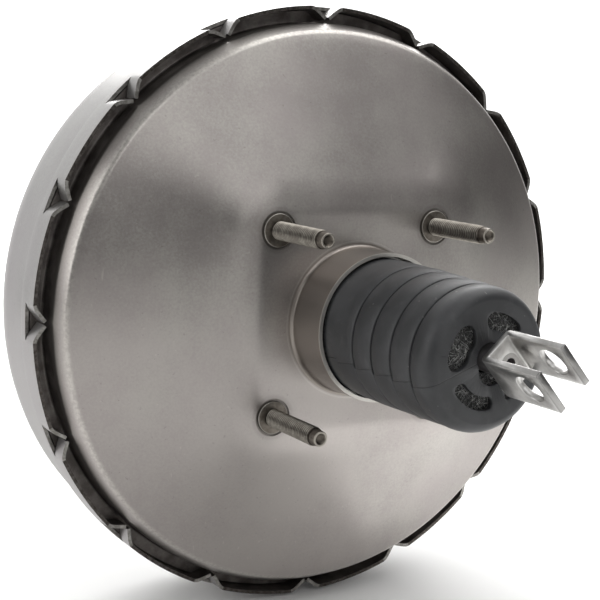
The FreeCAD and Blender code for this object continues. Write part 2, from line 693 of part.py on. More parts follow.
def make_plunger():
    body = new_body("plunger")
    slide = "plunger_bore - running_gap"
    turn(body, "stem", [
        ("plunger_nose", "0"),
        ("plunger_nose", "nose_bore - running_gap"),
        ("plunger_front", "nose_bore - running_gap"),
        ("plunger_front", slide),
        ("key_rear + key + key_play", slide),
        ("key_rear + key + key_play", "plunger_core"),
        ("key_rear - plunger_travel - key_play", "plunger_core"),
        ("key_rear - plunger_travel - key_play", slide),
        ("-(plunger_end - plunger_flange_width)", slide),
        ("-(plunger_end - plunger_flange_width)", "plunger_flange"),
        ("-plunger_end", "plunger_flange"),
        ("-plunger_end", "0"),
    ])
    socket = body.newObject("PartDesign::SubtractiveSphere", "socket")
    socket.setExpression("Radius", bound("ball_radius + running_gap"))
    socket.setExpression("Placement.Base.y", bound("-ball_place"))
    return body


def make_poppet():
    tube_bore = "poppet_seat_radius - 1"
    face = "plunger_end + 0.3"
    poppet = turned("poppet_valve", [
        (f"-({face})", "poppet_bore"),
        (f"-({face})", "poppet_seat_radius", "0.8"),
        (f"-({face} + poppet_thick + 1.5)", "poppet_seat_radius + 1"),
        ("-(poppet_end - 3.4)", "poppet_seat_radius + 1"),
        ("-(poppet_end - 3.4)", "tail_bore - rest_gap"),
        ("-poppet_end", "tail_bore - rest_gap"),
        ("-poppet_end", tube_bore),
        (f"-({face} + poppet_thick)", tube_bore),
        (f"-({face} + poppet_thick)", "poppet_bore"),
    ])
    ring = "rod_spring_radius - rod_spring_wire / 2 - 0.7"
    retainer = turned("poppet_retainer", [
        ("-(poppet_end + steel + rest_gap)", ring),
        ("-(poppet_end + steel + rest_gap)", "tail_bore - rest_gap"),
        ("-(poppet_end + rest_gap)", "tail_bore - rest_gap"),
        ("-(poppet_end + rest_gap)", f"{tube_bore} - rest_gap"),
        ("-(poppet_end - 11)", f"{tube_bore} - rest_gap"),
        ("-(poppet_end - 11)", f"{tube_bore} - rest_gap - steel"),
        ("-(poppet_end + rest_gap)", f"{tube_bore} - rest_gap - steel"),
        ("-(poppet_end + rest_gap)", ring),
    ])
    spring = coil("poppet_spring", "poppet_spring_radius", "poppet_spring_wire", "3",
                  "-poppet_end", f"-({face} + poppet_thick)")
    return [poppet, retainer, spring]


def make_air_filter():
    return turned("air_filter", [
        ("-filter_front", "filter_bore"),
        ("-(tail_end - 0.5)", "filter_bore"),
        ("-(tail_end - 0.5)", "tail_bore - rest_gap"),
        ("-filter_front", "tail_bore - rest_gap"),
    ])


def make_diaphragm_plate():
    """A steel dish with a flanged rim."""
    rim = "hub_seat + plate_rise"
    return turned("diaphragm_plate", [
        ("hub_seat", "hub_boss + rest_gap"),
        ("hub_seat", "plate_flat", "8"),
        (rim, "plate_brow", "7"),
        (rim, "plate_rim", "2"),
        (f"{rim} + plate_flange", "plate_rim"),
        (f"{rim} + plate_flange", "plate_rim - steel"),
        (f"{rim} + steel", "plate_rim - steel", "0.5"),
        (f"{rim} + steel", "plate_brow - 0.3", "7"),
        ("hub_seat + steel", "plate_flat - 0.3", "7"),
        ("hub_seat + steel", "hub_boss + rest_gap"),
    ])


def make_diaphragm():
    """Rubber from the bead between the shells, over a rolling fold, to the hub's groove."""
    front = "hub_seat - rest_gap"
    rim_front = "hub_seat + plate_rise - rest_gap"
    inner_leg = "plate_rim + rest_gap"
    outer_leg = "drum_radius - steel - fold_clear"
    return turned("diaphragm", [
        (front, "hub_groove + rest_gap"),
        (front, "plate_flat", "8"),
        (rim_front, "plate_brow", "8"),
        (rim_front, inner_leg, "2"),
        ("fold_place", inner_leg, "6"),
        ("fold_place", outer_leg, "6"),
        (SEAM, outer_leg),
        (SEAM, "flange_radius"),
        (FLANGE_FRONT, "flange_radius"),
        (FLANGE_FRONT, f"{outer_leg} - rubber"),
        ("fold_place - rubber", f"{outer_leg} - rubber", "4"),
        ("fold_place - rubber", f"{inner_leg} + rubber", "4"),
        (f"{rim_front} - rubber", f"{inner_leg} + rubber", "3"),
        (f"{rim_front} - rubber", "plate_brow + 0.3", "7"),
        (f"{front} - rubber", "plate_flat + 0.3", "7"),
        (f"{front} - rubber", "hub_flange + 2"),
        ("hub_rear + hub_flange_width + rest_gap", "hub_flange + 2", "1"),
        ("hub_rear + hub_flange_width + rest_gap", "hub_groove + rest_gap"),
    ])


# Output side

def make_output_parts():
    head = "reaction_bore - rest_gap"
    disc_front = "reaction_floor + reaction_disc_height"
    disc = turned("reaction_disc", [
        ("reaction_floor", "0"),
        ("reaction_floor", head),
        (disc_front, head),
        (disc_front, "0"),
    ])
    rod = turned("output_rod", [
        (disc_front, "0"),
        (disc_front, head),
        (f"{disc_front} + push_head", head),
        (f"{disc_front} + push_head", "push_radius", "1.5"),
        ("push_end", "push_radius"),
        ("push_end", "tip_thread"),
        ("push_end - 14", "tip_thread"),
        ("push_end - 14", "0"),
    ])
    retainer = turned("output_rod_retainer", [
        (f"{disc_front} + push_head + rest_gap", "push_radius + 2"),
        (f"{disc_front} + push_head + rest_gap", "reaction_bore - rest_gap"),
        ("hub_front", "reaction_bore - rest_gap"),
        ("hub_front", "hub_boss - 1.5"),
        ("hub_front + 1", "hub_boss - 1.5"),
        ("hub_front + 1", "push_radius + 2"),
    ])
    tip = new_body("output_rod_tip")
    turn(tip, "thread_and_nose", [
        ("push_end - 12", "0"),
        ("push_end - 12", "tip_thread"),
        ("push_end", "tip_thread"),
        ("push_end", "tip_hex * 0.8"),
        ("push_end + 5", "tip_hex * 0.8"),
        ("push_end + 5", "tip_nose"),
        ("tip_reach", "tip_nose", "2.4"),
        ("tip_reach", "0"),
    ])
    hexagon = new_sketch(tip, "hexagon_outline", "XZ_Plane", "-push_end")
    corners = []
    for side in range(6):
        across = round(math.cos(math.radians(60 * side)), 4)
        up = round(math.sin(math.radians(60 * side)), 4)
        corners.append((f"tip_hex * {across}", f"tip_hex * {up}"))
    add_outline(hexagon, corners)
    extrude(tip, "hexagon", hexagon, "5", reverse=True)
    return [disc, rod, retainer, tip]


# The push rod, its clevis and its boot

def make_input_rod():
    body = new_body("input_rod")
    ball = body.newObject("PartDesign::AdditiveSphere", "ball")
    ball.setExpression("Radius", bound("ball_radius"))
    ball.setExpression("Placement.Base.y", bound("-ball_place"))
    end = "clevis_base + rest_gap + clevis_plate"
    turn(body, "rod", [
        ("-ball_place", "0"),
        ("-ball_place", "rod_neck"),
        ("-(rod_neck_end - 1.5)", "rod_neck"),
        ("-rod_neck_end", "rod_radius"),
        ("-rod_ring_place", "rod_radius"),
        ("-rod_ring_place", "rod_ring"),
        ("-(rod_ring_place + 2)", "rod_ring"),
        ("-(rod_ring_place + 2)", "rod_radius"),
        ("-rod_collar_start", "rod_radius"),
        ("-rod_collar_start", "rod_collar"),
        ("-clevis_base", "rod_collar", "0.8"),
        ("-clevis_base", "rod_stem"),
        (f"-({end})", "rod_stem"),
        (f"-({end})", "rod_drill"),
        (f"-({end} - 4)", "rod_drill"),
        (f"-({end} - 4)", "0"),
    ])
    hang(body)
    return body


def make_clevis():
    """A strap bent into a U: its base on the rod's stem, and two ears with the pin's hole."""
    base = "clevis_base + rest_gap"
    inside = f"{base} + clevis_plate"
    half = "clevis_gap / 2"
    side = "clevis_gap / 2 + clevis_plate"
    outlines = {
        "clevis_base": [
            (f"-({side})", f"-({inside})"),
            (f"-({side})", f"-({base})", "1.6"),
            (side, f"-({base})", "1.6"),
            (side, f"-({inside})"),
        ],
    }
    for label, sign in (("clevis_left_ear", "-"), ("clevis_right_ear", "")):
        outlines[label] = [
            (f"{sign}({half})", f"-({inside})"),
            (f"{sign}({side})", f"-({inside})"),
            (f"{sign}({side})", "-clevis_end"),
            (f"{sign}({half})", "-clevis_end"),
        ]
    parts = []
    for label, corners in outlines.items():
        body = new_body(label)
        bend = new_sketch(body, "strap_outline", "XY_Plane", "-clevis_width / 2")
        add_outline(bend, corners)
        extrude(body, "strap", bend, "clevis_width")
        parts.append(body)
    stem = new_sketch(parts[0], "stem_circle", "XZ_Plane", "clevis_base")
    add_circle(stem, "0", "0", "rod_stem + running_gap")
    extrude(parts[0], "stem_hole", stem, "clevis_plate + 1", "Pocket", reverse=True)
    for ear in parts[1:]:
        pin = new_sketch(ear, "pin_circle", "YZ_Plane", f"-({side}) - 1")
        add_circle(pin, "-clevis_pin_place", "0", "clevis_pin")
        extrude(ear, "pin_hole", pin, f"2 * ({side}) + 2", "Pocket", reverse=True)
    turned_up = FreeCAD.Placement(VECTOR(0, 0, 0), FreeCAD.Rotation(VECTOR(0, 1, 0), -value("clevis_turn")))
    for body in parts:
        hang(body)
        body.Placement = body.Placement.multiply(turned_up)
    return parts


def boot_side():
    """The boot's outside from neck to face, with a crease between each two folds."""
    corners = [
        ("-boot_start", "boot_lip"),
        ("-(neck_reach + 0.5)", "boot_lip", "0.5"),
        ("-(neck_reach + 3)", "boot_first"),
    ]
    for number in range(4):
        place = f"boot_ring + boot_pitch * {number}"
        fold = f"boot_first - (boot_first - boot_last) * {number} / 3"
        corners.append((f"-({place} - 0.9)", fold))
        corners.append((f"-({place})", f"{fold} - boot_crease"))
        corners.append((f"-({place} + 0.5)", f"{fold} - 0.2"))
    return corners


def make_boot():
    """A moulded bellows: its front lip is in the neck, its face closes round the push rod."""
    body = new_body("boot")
    inner_face = "boot_face - boot_wall"
    turn(body, "bellows", boot_side() + [
        ("-boot_face", "boot_last", "boot_round"),
        ("-boot_face", "boot_hole - 2.5"),
        (f"-({inner_face})", "boot_hole - 2.5"),
        (f"-({inner_face})", "boot_last - boot_wall", "boot_round - boot_wall"),
        ("-boot_start", "boot_lip - boot_wall"),
    ])
    slot = new_sketch(body, "slot_outline", "XZ_Plane", "boot_face + 1")
    add_slot(slot, "slot_turn")
    opening = extrude(body, "air_slot", slot, "boot_wall + 2", "Pocket")
    repeat_round(body, "air_slots", [opening], "4")
    hole = new_sketch(body, "rod_hole_circle", "XZ_Plane", "boot_face + 1")
    add_circle(hole, "0", "rod_lift", "boot_hole")
    extrude(body, "rod_hole", hole, "boot_wall + 2", "Pocket")
    gape = new_sketch(body, "gape_outline", "XZ_Plane", "boot_face + 1")
    add_circle(gape, "1.5", "-2.1", "boot_gape")
    extrude(body, "gape", gape, "boot_wall + 2", "Pocket")
    hang(body, "droop")
    return body


def add_slot(sketch, angle):
    """A kidney slot round the origin, with its middle at the angle."""
    inner, outer = value("slot_inner"), value("slot_outer")
    middle = "(slot_inner + slot_outer) / 2"
    turn_value, half = value(angle), value("slot_half")
    start, stop = math.radians(turn_value - half), math.radians(turn_value + half)
    normal = VECTOR(0, 0, 1)
    ends = [VECTOR(value(middle) * math.cos(a), value(middle) * math.sin(a), 0) for a in (start, stop)]
    end_radius = (outer - inner) / 2
    sketch.addGeometry(Part.ArcOfCircle(Part.Circle(VECTOR(), normal, outer), start, stop), False)
    sketch.addGeometry(Part.ArcOfCircle(Part.Circle(ends[1], normal, end_radius),
                                        stop, stop + math.pi), False)
    sketch.addGeometry(Part.ArcOfCircle(Part.Circle(VECTOR(), normal, inner), start, stop), False)
    sketch.addGeometry(Part.ArcOfCircle(Part.Circle(ends[0], normal, end_radius),
                                        start + math.pi, start + 2 * math.pi), False)
    for long_arc in (0, 2):
        sketch.addConstraint(Sketcher.Constraint("Coincident", long_arc, 3, -1, 1))
    joins = [(0, 2, 1, 1), (1, 2, 2, 2), (2, 1, 3, 1), (3, 2, 0, 1)]
    for first, first_end, second, second_end in joins:
        sketch.addConstraint(Sketcher.Constraint("Tangent", first, first_end, second, second_end))
    hold(sketch, "Radius", (0,), "slot_outer")
    hold(sketch, "Radius", (2,), "slot_inner")
    for end, sign in ((1, "+"), (3, "-")):
        place = f"({angle} {sign} slot_half) * 1 deg"
        hold(sketch, "DistanceX", (-1, 1, end, 3), f"{middle} * cos({place})")


def make_boot_silencer():
    body = new_body("boot_silencer")
    turn(body, "foam", [
        ("-(boot_face - boot_wall - rest_gap)", "rod_radius + 2.2"),
        ("-(boot_face - boot_wall - rest_gap)", "boot_last - boot_wall - 0.6", "boot_round - boot_wall"),
        ("-(boot_face - boot_wall - foam)", "boot_last - boot_wall - 0.6"),
        ("-(boot_face - boot_wall - foam)", "rod_radius + 2.2"),
    ])
    bore = new_sketch(body, "collar_bore", "XZ_Plane", "boot_face - boot_wall")
    add_circle(bore, "0", "rod_lift", "rod_collar + rest_gap")
    extrude(body, "collar_room", bore, "boot_face - boot_wall - rod_collar_start + 0.5", "Pocket")
    hang(body, "droop")
    return body


# The check valve

def make_check_valve():
    head_start = f"{GROMMET_OUT} + rest_gap"
    head_end = f"{GROMMET_OUT} + rest_gap + valve_head_length"
    grommet = turned("check_valve_grommet", [
        (GROMMET_IN, "grommet_bore"),
        (GROMMET_IN, "grommet_waist + 2.2", "1.5"),
        ("face_place - steel - 0.05", "grommet_waist + 2.2"),
        ("face_place - steel - 0.05", "grommet_waist"),
        ("face_place + 0.05", "grommet_waist"),
        ("face_place + 0.05", "grommet_flange"),
        (GROMMET_OUT, "grommet_flange", "1.5"),
        (GROMMET_OUT, "grommet_bore"),
    ], centre="valve_height")
    valve = new_body("check_valve_body")
    stem = "grommet_bore - rest_gap"
    turn(valve, "head", [
        (f"{GROMMET_IN} - 4", "0"),
        (f"{GROMMET_IN} - 4", stem),
        (f"{GROMMET_IN} - 2.5", "grommet_bore + 1.3"),
        (f"{GROMMET_IN} - rest_gap", "grommet_bore + 1.3"),
        (f"{GROMMET_IN} - rest_gap", stem),
        (head_start, stem),
        (head_start, "valve_head"),
        (head_end, "valve_head"),
        (head_end, "0"),
    ], centre="valve_height")
    level = f"{head_end} - nipple_radius - 0.8"
    turn(valve, "nipple", [
        ("0", "0"),
        ("0", "nipple_radius"),
        ("nipple_reach - 12", "nipple_radius"),
        ("nipple_reach - 12", "barb_radius"),
        ("nipple_reach - 12 + barb_crest", "barb_radius"),
        ("nipple_reach - 6", "nipple_radius - 0.2"),
        ("nipple_reach - 6", "barb_radius"),
        ("nipple_reach - 6 + barb_crest", "barb_radius"),
        ("nipple_reach", "nipple_radius - 0.4"),
        ("nipple_reach", "0"),
    ], centre=level, role="XY_Plane", offset="valve_height")
    turn(valve, "chamber", [
        (f"{head_start} + 2", "0"),
        (f"{head_start} + 2", "valve_room"),
        (head_end, "valve_room"),
        (head_end, "0"),
    ], kind="Groove", centre="valve_height")
    turn(valve, "inlet", [
        (f"{GROMMET_IN} - 4", "0"),
        (f"{GROMMET_IN} - 4", "valve_port"),
        (f"{head_start} + 2", "valve_port"),
        (f"{head_start} + 2", "0"),
    ], kind="Groove", centre="valve_height")
    turn(valve, "outlet", [
        ("valve_room / 2", "0"),
        ("valve_room / 2", "nipple_bore"),
        ("nipple_reach", "nipple_bore"),
        ("nipple_reach", "0"),
    ], kind="Groove", centre=level, role="XY_Plane", offset="valve_height")
    cap = turned("check_valve_cap", [
        (f"{head_end} - 1.5", "valve_room - 2.2"),
        (f"{head_end} - 1.5", "valve_room - rest_gap"),
        (head_end, "valve_room - rest_gap"),
        (head_end, "valve_head"),
        (f"{head_end} + valve_cap", "valve_head", "1"),
        (f"{head_end} + valve_cap", "0"),
        (head_end, "0"),
        (head_end, "valve_room - 2.2"),
    ], centre="valve_height")
    seat = f"{head_start} + 2 + rest_gap"
    disc = turned("check_valve_disc", [
        (seat, "0"),
        (seat, "valve_port + 2.2"),
        (f"{seat} + 1.4", "valve_port + 2.2"),
        (f"{seat} + 1.4", "2"),
        (f"{seat} + 3", "2"),
        (f"{seat} + 3", "0"),
    ], centre="valve_height")
    spring = coil("check_valve_spring", "3.6", "0.8", "3", f"{seat} + 1.4", head_end, "valve_height")
    return [grommet, valve, cap, disc, spring]


# The whole booster

def make_all():
    pieces = [make_front_shell(), make_rear_shell(), make_firewall_studs(), make_rear_plate()]
    pieces += make_neck_rings()
    pieces += [make_master_cylinder_studs(), make_front_plate()]
    pieces += [make_valve_body(), make_stop_key(), make_plunger()]
    pieces += make_poppet()
    pieces += [make_air_filter(), make_diaphragm_plate(), make_diaphragm()]
    pieces += make_output_parts()
    pieces.append(coil("piston_return_spring", "spring_radius", "spring_wire", "spring_turns",
                       "hub_seat + steel", FRONT_PLATE_REAR))
    rod_spring = coil("rod_return_spring", "rod_spring_radius", "rod_spring_wire", "4",
                      "-rod_ring_place", "-(poppet_end + steel + rest_gap)")
    hang(rod_spring)
    pieces += [rod_spring, make_input_rod(), make_boot(), make_boot_silencer()]
    pieces += make_clevis()
    pieces += make_check_valve()
    return pieces


pieces = make_all()
doc.recompute()

for item in doc.Objects:
    faults = {"Invalid", "Error"} & set(item.State)
    if faults:
        raise RuntimeError(f"{item.Name} is {faults}")
for piece in pieces:
    if piece.Shape.isNull() or not piece.Shape.isValid():
        raise RuntimeError(f"{piece.Label} has no valid shape")

os.makedirs("parts", exist_ok=True)
for piece in pieces:
    piece.Shape.exportStep(f"parts/{piece.Label}.step")
    solids = len(piece.Shape.Solids)
    print(f"{piece.Label}: {solids} solid, {len(piece.Shape.Faces)} faces, {piece.Shape.Volume:.0f} mm3")
print(f"{len(pieces)} pieces")
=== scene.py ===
# %% [markdown]
# # A vacuum brake booster
#
# A brake booster is a shallow steel drum that sits between the brake pedal and the master cylinder. We see
# it from behind and from the left: a satin steel cover with a square pad and four studs, a drawn neck, a
# ribbed rubber boot, and a bright zinc clevis that takes the pedal's pin. Round the edge, the front shell's
# skirt is lanced inwards at sixteen places to hold the two shells together.
#
# The CAD model gives every size and place. This script dresses it: the pieces that show are rebuilt with
# real edges, threads and folds, and the others keep their CAD shape and get a finish.

# %% Load the frame
import json
import math
import random

import bmesh
import bpy
from mathutils import Euler, Matrix, Vector, noise

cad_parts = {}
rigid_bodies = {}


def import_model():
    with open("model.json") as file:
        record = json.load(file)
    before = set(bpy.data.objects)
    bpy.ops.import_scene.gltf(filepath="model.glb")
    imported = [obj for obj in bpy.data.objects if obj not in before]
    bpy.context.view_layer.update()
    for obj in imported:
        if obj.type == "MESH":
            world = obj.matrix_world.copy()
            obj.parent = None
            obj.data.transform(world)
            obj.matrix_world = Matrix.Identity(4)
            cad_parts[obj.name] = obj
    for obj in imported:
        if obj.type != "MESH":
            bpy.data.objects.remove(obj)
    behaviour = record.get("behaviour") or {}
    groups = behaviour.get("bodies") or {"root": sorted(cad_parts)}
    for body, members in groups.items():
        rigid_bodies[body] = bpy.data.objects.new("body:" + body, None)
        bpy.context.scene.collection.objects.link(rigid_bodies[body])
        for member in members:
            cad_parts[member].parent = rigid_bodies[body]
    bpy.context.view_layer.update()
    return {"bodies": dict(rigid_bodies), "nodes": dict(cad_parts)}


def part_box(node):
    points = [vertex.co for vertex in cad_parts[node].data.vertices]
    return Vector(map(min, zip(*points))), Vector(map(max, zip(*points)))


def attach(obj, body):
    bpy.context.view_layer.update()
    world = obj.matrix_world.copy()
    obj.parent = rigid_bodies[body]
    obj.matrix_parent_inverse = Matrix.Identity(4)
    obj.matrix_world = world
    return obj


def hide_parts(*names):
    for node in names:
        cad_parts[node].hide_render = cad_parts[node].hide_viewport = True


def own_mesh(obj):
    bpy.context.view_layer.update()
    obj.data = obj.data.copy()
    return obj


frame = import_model()
nodes = frame["nodes"]
scene = bpy.context.scene
MM = 0.001
print("bodies:", ", ".join(frame["bodies"]))

# %% [markdown]
# Places along the axis and radii round it are in millimetres. The axis is Y, and the pedal is towards -Y. The
# sizes that the boxes of the CAD nodes have are read from there, to a tenth of a millimetre.

# %% Sizes that several pieces share


def box_side(node, end, axis):
    """Where the box of a CAD node starts (end 0) or stops (end 1) along an axis."""
    return round(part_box(node)[end]["XYZ".index(axis)] / MM, 1)


SHEET = 1.5
NECK, NECK_END = 32, box_side("rear_shell", 0, "Y")
SKIRT, SKIRT_EDGE = box_side("front_shell", 1, "X"), box_side("front_shell", 0, "Y")
FLANGE, FLANGE_EDGE = box_side("rear_shell", 1, "Y") - SHEET, box_side("rear_shell", 1, "X")
BOSS_FACE = box_side("front_shell", 1, "Y")
STUD_OUT = 40
THREAD_ROOT, THREAD_CREST = 3.30, 4.0
REAR_TIP, FRONT_TIP = box_side("firewall_studs", 0, "Y"), box_side("master_cylinder_studs", 1, "Y")
FOLD_START, FOLD_STEP = 42.5, 12.7
PARTING = -160
CLEVIS_BASE, CLEVIS_END = -102.6, -134.4
print("skirt", SKIRT, "neck", NECK_END, "boss", BOSS_FACE, "studs", REAR_TIP, FRONT_TIP)

# %% [markdown]
# ## The camera
#
# The photograph was taken with a long lens from the left and a little above. The place in metres, the turn in
# degrees and the lens in millimetres were fitted together, so that the rims, the studs, the boot and the clevis
# fall where the photograph has them.

# %% Camera
CAMERA_PLACE = (-0.32242, -0.48866, 0.09871)
CAMERA_TURN = (81.1621, -2.0751, -30.6908)
LENS, SENSOR = 81.64, 36

camera_data = bpy.data.cameras.new("camera")
camera_data.sensor_width = SENSOR
camera_data.lens = LENS
camera_data.clip_end = 100
camera = bpy.data.objects.new("camera", camera_data)
scene.collection.objects.link(camera)
camera.matrix_world = Matrix.LocRotScale(CAMERA_PLACE, Euler([math.radians(turn) for turn in CAMERA_TURN]), None)
scene.camera = camera
print("camera at", [round(place, 3) for place in camera.location])

# %% [markdown]
# ## Writing materials as sums
#
# A finish is a few numbers that vary over the surface, so it reads best as arithmetic. `Wave` wraps a node's
# output and turns `+`, `-`, `*` and `/` into Math nodes. `Nodes` has the one method that makes every node: it
# takes the node's type, its settings, and the values or waves of its inputs. `Finish` is a material on top.

# %% Material helpers


class Wave:
    """A socket that carries numbers, with arithmetic."""

    def __init__(self, nodes, socket):
        self.nodes = nodes
        self.socket = socket

    def math(self, operation, *others):
        return self.nodes.node("ShaderNodeMath", {"operation": operation}, dict(enumerate((self, *others))))

    def __add__(self, other):
        return self.math("ADD", other)

    def __sub__(self, other):
        return self.math("SUBTRACT", other)

    def __mul__(self, other):
        return self.math("MULTIPLY", other)

    def __truediv__(self, other):
        return self.math("DIVIDE", other)

    def __rsub__(self, other):
        return self.nodes.node("ShaderNodeMath", {"operation": "SUBTRACT"}, {0: other, 1: self})

    __radd__ = __add__
    __rmul__ = __mul__

    def above(self, low, high):
        """0 under low, 1 over high, and smooth between."""
        return self.nodes.node("ShaderNodeMapRange", {"interpolation_type": "SMOOTHSTEP"},
                               {"Value": self, "From Min": low, "From Max": high})

    def near(self, value, width):
        """1 at the value, falling to 0 at a width from it."""
        return 1 - (self - value).math("ABSOLUTE").above(0.0, width)


class Nodes:
    """A node tree."""

    def __init__(self, tree):
        self.tree = tree

    def node(self, kind, settings, inputs, output=0):
        made = self.tree.nodes.new(kind)
        for key, value in settings.items():
            setattr(made, key, value)
        for key, value in inputs.items():
            self.join(value, made.inputs[key])
        return Wave(self, made.outputs[output])

    def join(self, value, socket):
        if isinstance(value, Wave):
            self.tree.links.new(value.socket, socket)
        elif isinstance(value, tuple) and socket.type == "RGBA":
            socket.default_value = (*value, 1)
        else:
            socket.default_value = value

    def mix(self, amount, first, second):
        """One colour over another."""
        return self.node("ShaderNodeMix", {"data_type": "RGBA"}, {0: amount, 6: first, 7: second}, 2)


class Finish(Nodes):
    """A material with one Principled shader."""

    def __init__(self, name, **settings):
        self.material = bpy.data.materials.new(name)
        self.material.use_nodes = True
        super().__init__(self.material.node_tree)
        self.shader = self.tree.nodes["Principled BSDF"]
        self.place = self.node("ShaderNodeTexCoord", {}, {}, "Object")
        self.set(**settings)

    def set(self, **inputs):
        for key, value in inputs.items():
            self.join(value, self.shader.inputs[key.replace("_", " ")])

    def stretched(self, scale, turn=(0, 0, 0)):
        """The surface's coordinates, turned and stretched along the axes."""
        return self.node("ShaderNodeMapping", {}, {"Vector": self.place, "Scale": scale, "Rotation": turn})

    def along(self, axis):
        """One coordinate, in metres."""
        return self.node("ShaderNodeSeparateXYZ", {}, {0: self.place}, "XYZ".index(axis))

    def radius(self, x=0.0, z=0.0):
        """Distance from a line along Y, in metres. Off the axis, the same in all four quarters."""
        across = self.along("X").math("ABSOLUTE") - x
        up = self.along("Z").math("ABSOLUTE") - z
        return (across * across + up * up).math("SQRT")

    def noise(self, scale, detail=4, roughness=0.55, place=None):
        """Fractal noise, about 0.5 on the whole. The scale is how many times it varies in a metre."""
        return self.node("ShaderNodeTexNoise", {}, {
            "Vector": place or self.place, "Scale": scale, "Detail": detail, "Roughness": roughness})

    def bump(self, height, strength, distance, under=None):
        """A normal from a height, on top of another normal if there is one under it."""
        inputs = {"Height": height, "Strength": strength, "Distance": distance}
        if under:
            inputs["Normal"] = under
        return self.node("ShaderNodeBump", {}, inputs)


print("material helpers are ready")

# %% [markdown]
# ## Floor and light
#
# The booster stands in a white studio. Bare metal shows mostly what is round it, so the surroundings are chosen
# from its reflections. The sky is white behind the object and dim on the camera's side, which gives the white
# background and the dark upper right of the cover. Soft lights in front, from the left and above shade the
# slopes, one over the floor behind keeps the ground white, and a small weak one lies on the floor, where the
# lower right slope mirrors a bright table.

# %% Floor and light
FLOOR_HEIGHT, FLOOR_RADIUS = -(SKIRT + 1.5) * MM, 1.8
BRIGHT_SIDE = (0.287, 0.958, 0)
WHITE_WALL, CEILING, DIM_ROOM = 1.4, 0.40, 0.04

floor_shape = bmesh.new()
bmesh.ops.create_circle(floor_shape, cap_ends=True, segments=96, radius=FLOOR_RADIUS)
bmesh.ops.translate(floor_shape, verts=floor_shape.verts, vec=(0, 0, FLOOR_HEIGHT))
floor_mesh = bpy.data.meshes.new("floor")
floor_shape.to_mesh(floor_mesh)
floor_shape.free()
floor_mesh.materials.append(Finish("white_floor", Base_Color=(0.93, 0.93, 0.92), Roughness=0.9).material)
floor = bpy.data.objects.new("floor", floor_mesh)
scene.collection.objects.link(floor)


def area_light(name, place, target, size, power):
    """A square soft light at a place, turned towards a target. The camera doesn't see it."""
    data = bpy.data.lights.new(name, "AREA")
    data.shape = "SQUARE"
    data.size = size
    data.energy = power
    light = bpy.data.objects.new(name, data)
    scene.collection.objects.link(light)
    light.location = place
    light.rotation_euler = (Vector(target) - Vector(place)).to_track_quat("-Z", "Y").to_euler()
    light.visible_camera = False


area_light("floor_behind", (0.55, 1.2, 0.8), (0.55, 1.2, 0), 1.2, 26)
area_light("front", (0.5, -3.0, 1.24), (0, 0, 0), 1.8, 11)
area_light("front_left", (-0.6, -1.3, 1.1), (0, 0, 0), 0.8, 2.5)
area_light("left", (-1.5, 0.2, 0.5), (0, 0, 0), 1.0, 6)
area_light("above", (0.3, -0.1, 0.6), (0.3, -0.1, 0), 0.6, 2.5)
area_light("table", (0.14, -0.10, -0.13), (0.14, -0.10, 1), 0.20, 0.075)

studio = bpy.data.worlds.new("studio")
scene.world = studio
studio.use_nodes = True
sky = Nodes(studio.node_tree)
facing = sky.node("ShaderNodeTexCoord", {}, {}, "Generated")
towards = sky.node("ShaderNodeVectorMath", {"operation": "DOT_PRODUCT"}, {0: facing, 1: BRIGHT_SIDE}, "Value")
upwards = sky.node("ShaderNodeSeparateXYZ", {}, {0: facing}, "Z")
brightness = towards.above(0.4, 0.8) * WHITE_WALL + upwards.above(0.1, 0.8) * CEILING + DIM_ROOM
sky.join(brightness, sky.tree.nodes["Background"].inputs["Color"])
scene.view_settings.view_transform = "Standard"
print("sky:", len(sky.tree.nodes), "nodes")

# %% [markdown]
# ## The shells' finish
#
# Both shells are phosphated and lightly oiled steel: a warm grey between metal and paint. Seen close it has a
# fine grain, cloudy patches where the oil lies thicker, small specks and a few short rubbed marks. The neck is
# painted darker, and its lip and its root carry painted highlights. Each stud has a faint ring where the press
# tool coined its seat, with painted shade round it and in the gap at its collar. The rim has painted shade by
# the groove, and a painted highlight along its crest, broken by rubbed wear.

# %% Shell finish


def shell_finish(name, dark, light, roughness):
    """Oiled steel between two tones: the finish and its colour, so that more can be laid over it."""
    steel = Finish(name, Metallic=0.85)
    clouds = steel.noise(14, detail=6, roughness=0.62)
    streaks = steel.noise(45, detail=4, place=steel.stretched((1.0, 1.0, 0.6)))
    grain = steel.noise(1000, detail=3)
    pale = steel.noise(560, detail=1).above(0.74, 0.80)
    dots = steel.noise(640, detail=1, place=steel.stretched((1, 1, 1), turn=(1, 2, 0))).above(0.72, 0.78)
    tone = (clouds * 0.7 + streaks * 0.3 + (grain - 0.5) * 0.35).above(0.34, 0.68)
    colour = steel.mix(tone, dark, light)
    mauve = steel.noise(10, detail=3).above(0.42, 0.60) * 0.5
    colour = steel.mix(mauve, colour, (light[0] * 0.94, light[1] * 0.89, light[2] * 0.93))
    rubbed = steel.noise(800, detail=1, place=steel.stretched((1, 1, 0.12), turn=(0, 0.7, 0))).above(0.72, 0.78)
    marks = pale * 0.16 + rubbed * steel.noise(22, detail=1).above(0.52, 0.62) * 0.22
    colour = steel.mix(marks, colour, tuple(min(part * 1.6, 0.8) for part in light))
    colour = steel.mix(dots * 0.25, colour, tuple(part * 0.4 for part in dark))
    steel.set(Roughness=roughness + (grain - 0.5) * 0.10 + (clouds - 0.5) * 0.20)
    steel.set(Normal=steel.bump(steel.noise(150, detail=3), 0.05, 0.0005, under=steel.bump(grain, 0.12, 0.0002)))
    return steel, colour


rear_steel, rear_colour = shell_finish("rear_shell_phosphate", (0.335, 0.308, 0.295), (0.455, 0.435, 0.405), 0.34)
front_steel, front_colour = shell_finish("front_shell_phosphate", (0.245, 0.238, 0.232), (0.335, 0.327, 0.32), 0.38)
front_steel.set(Base_Color=front_colour)

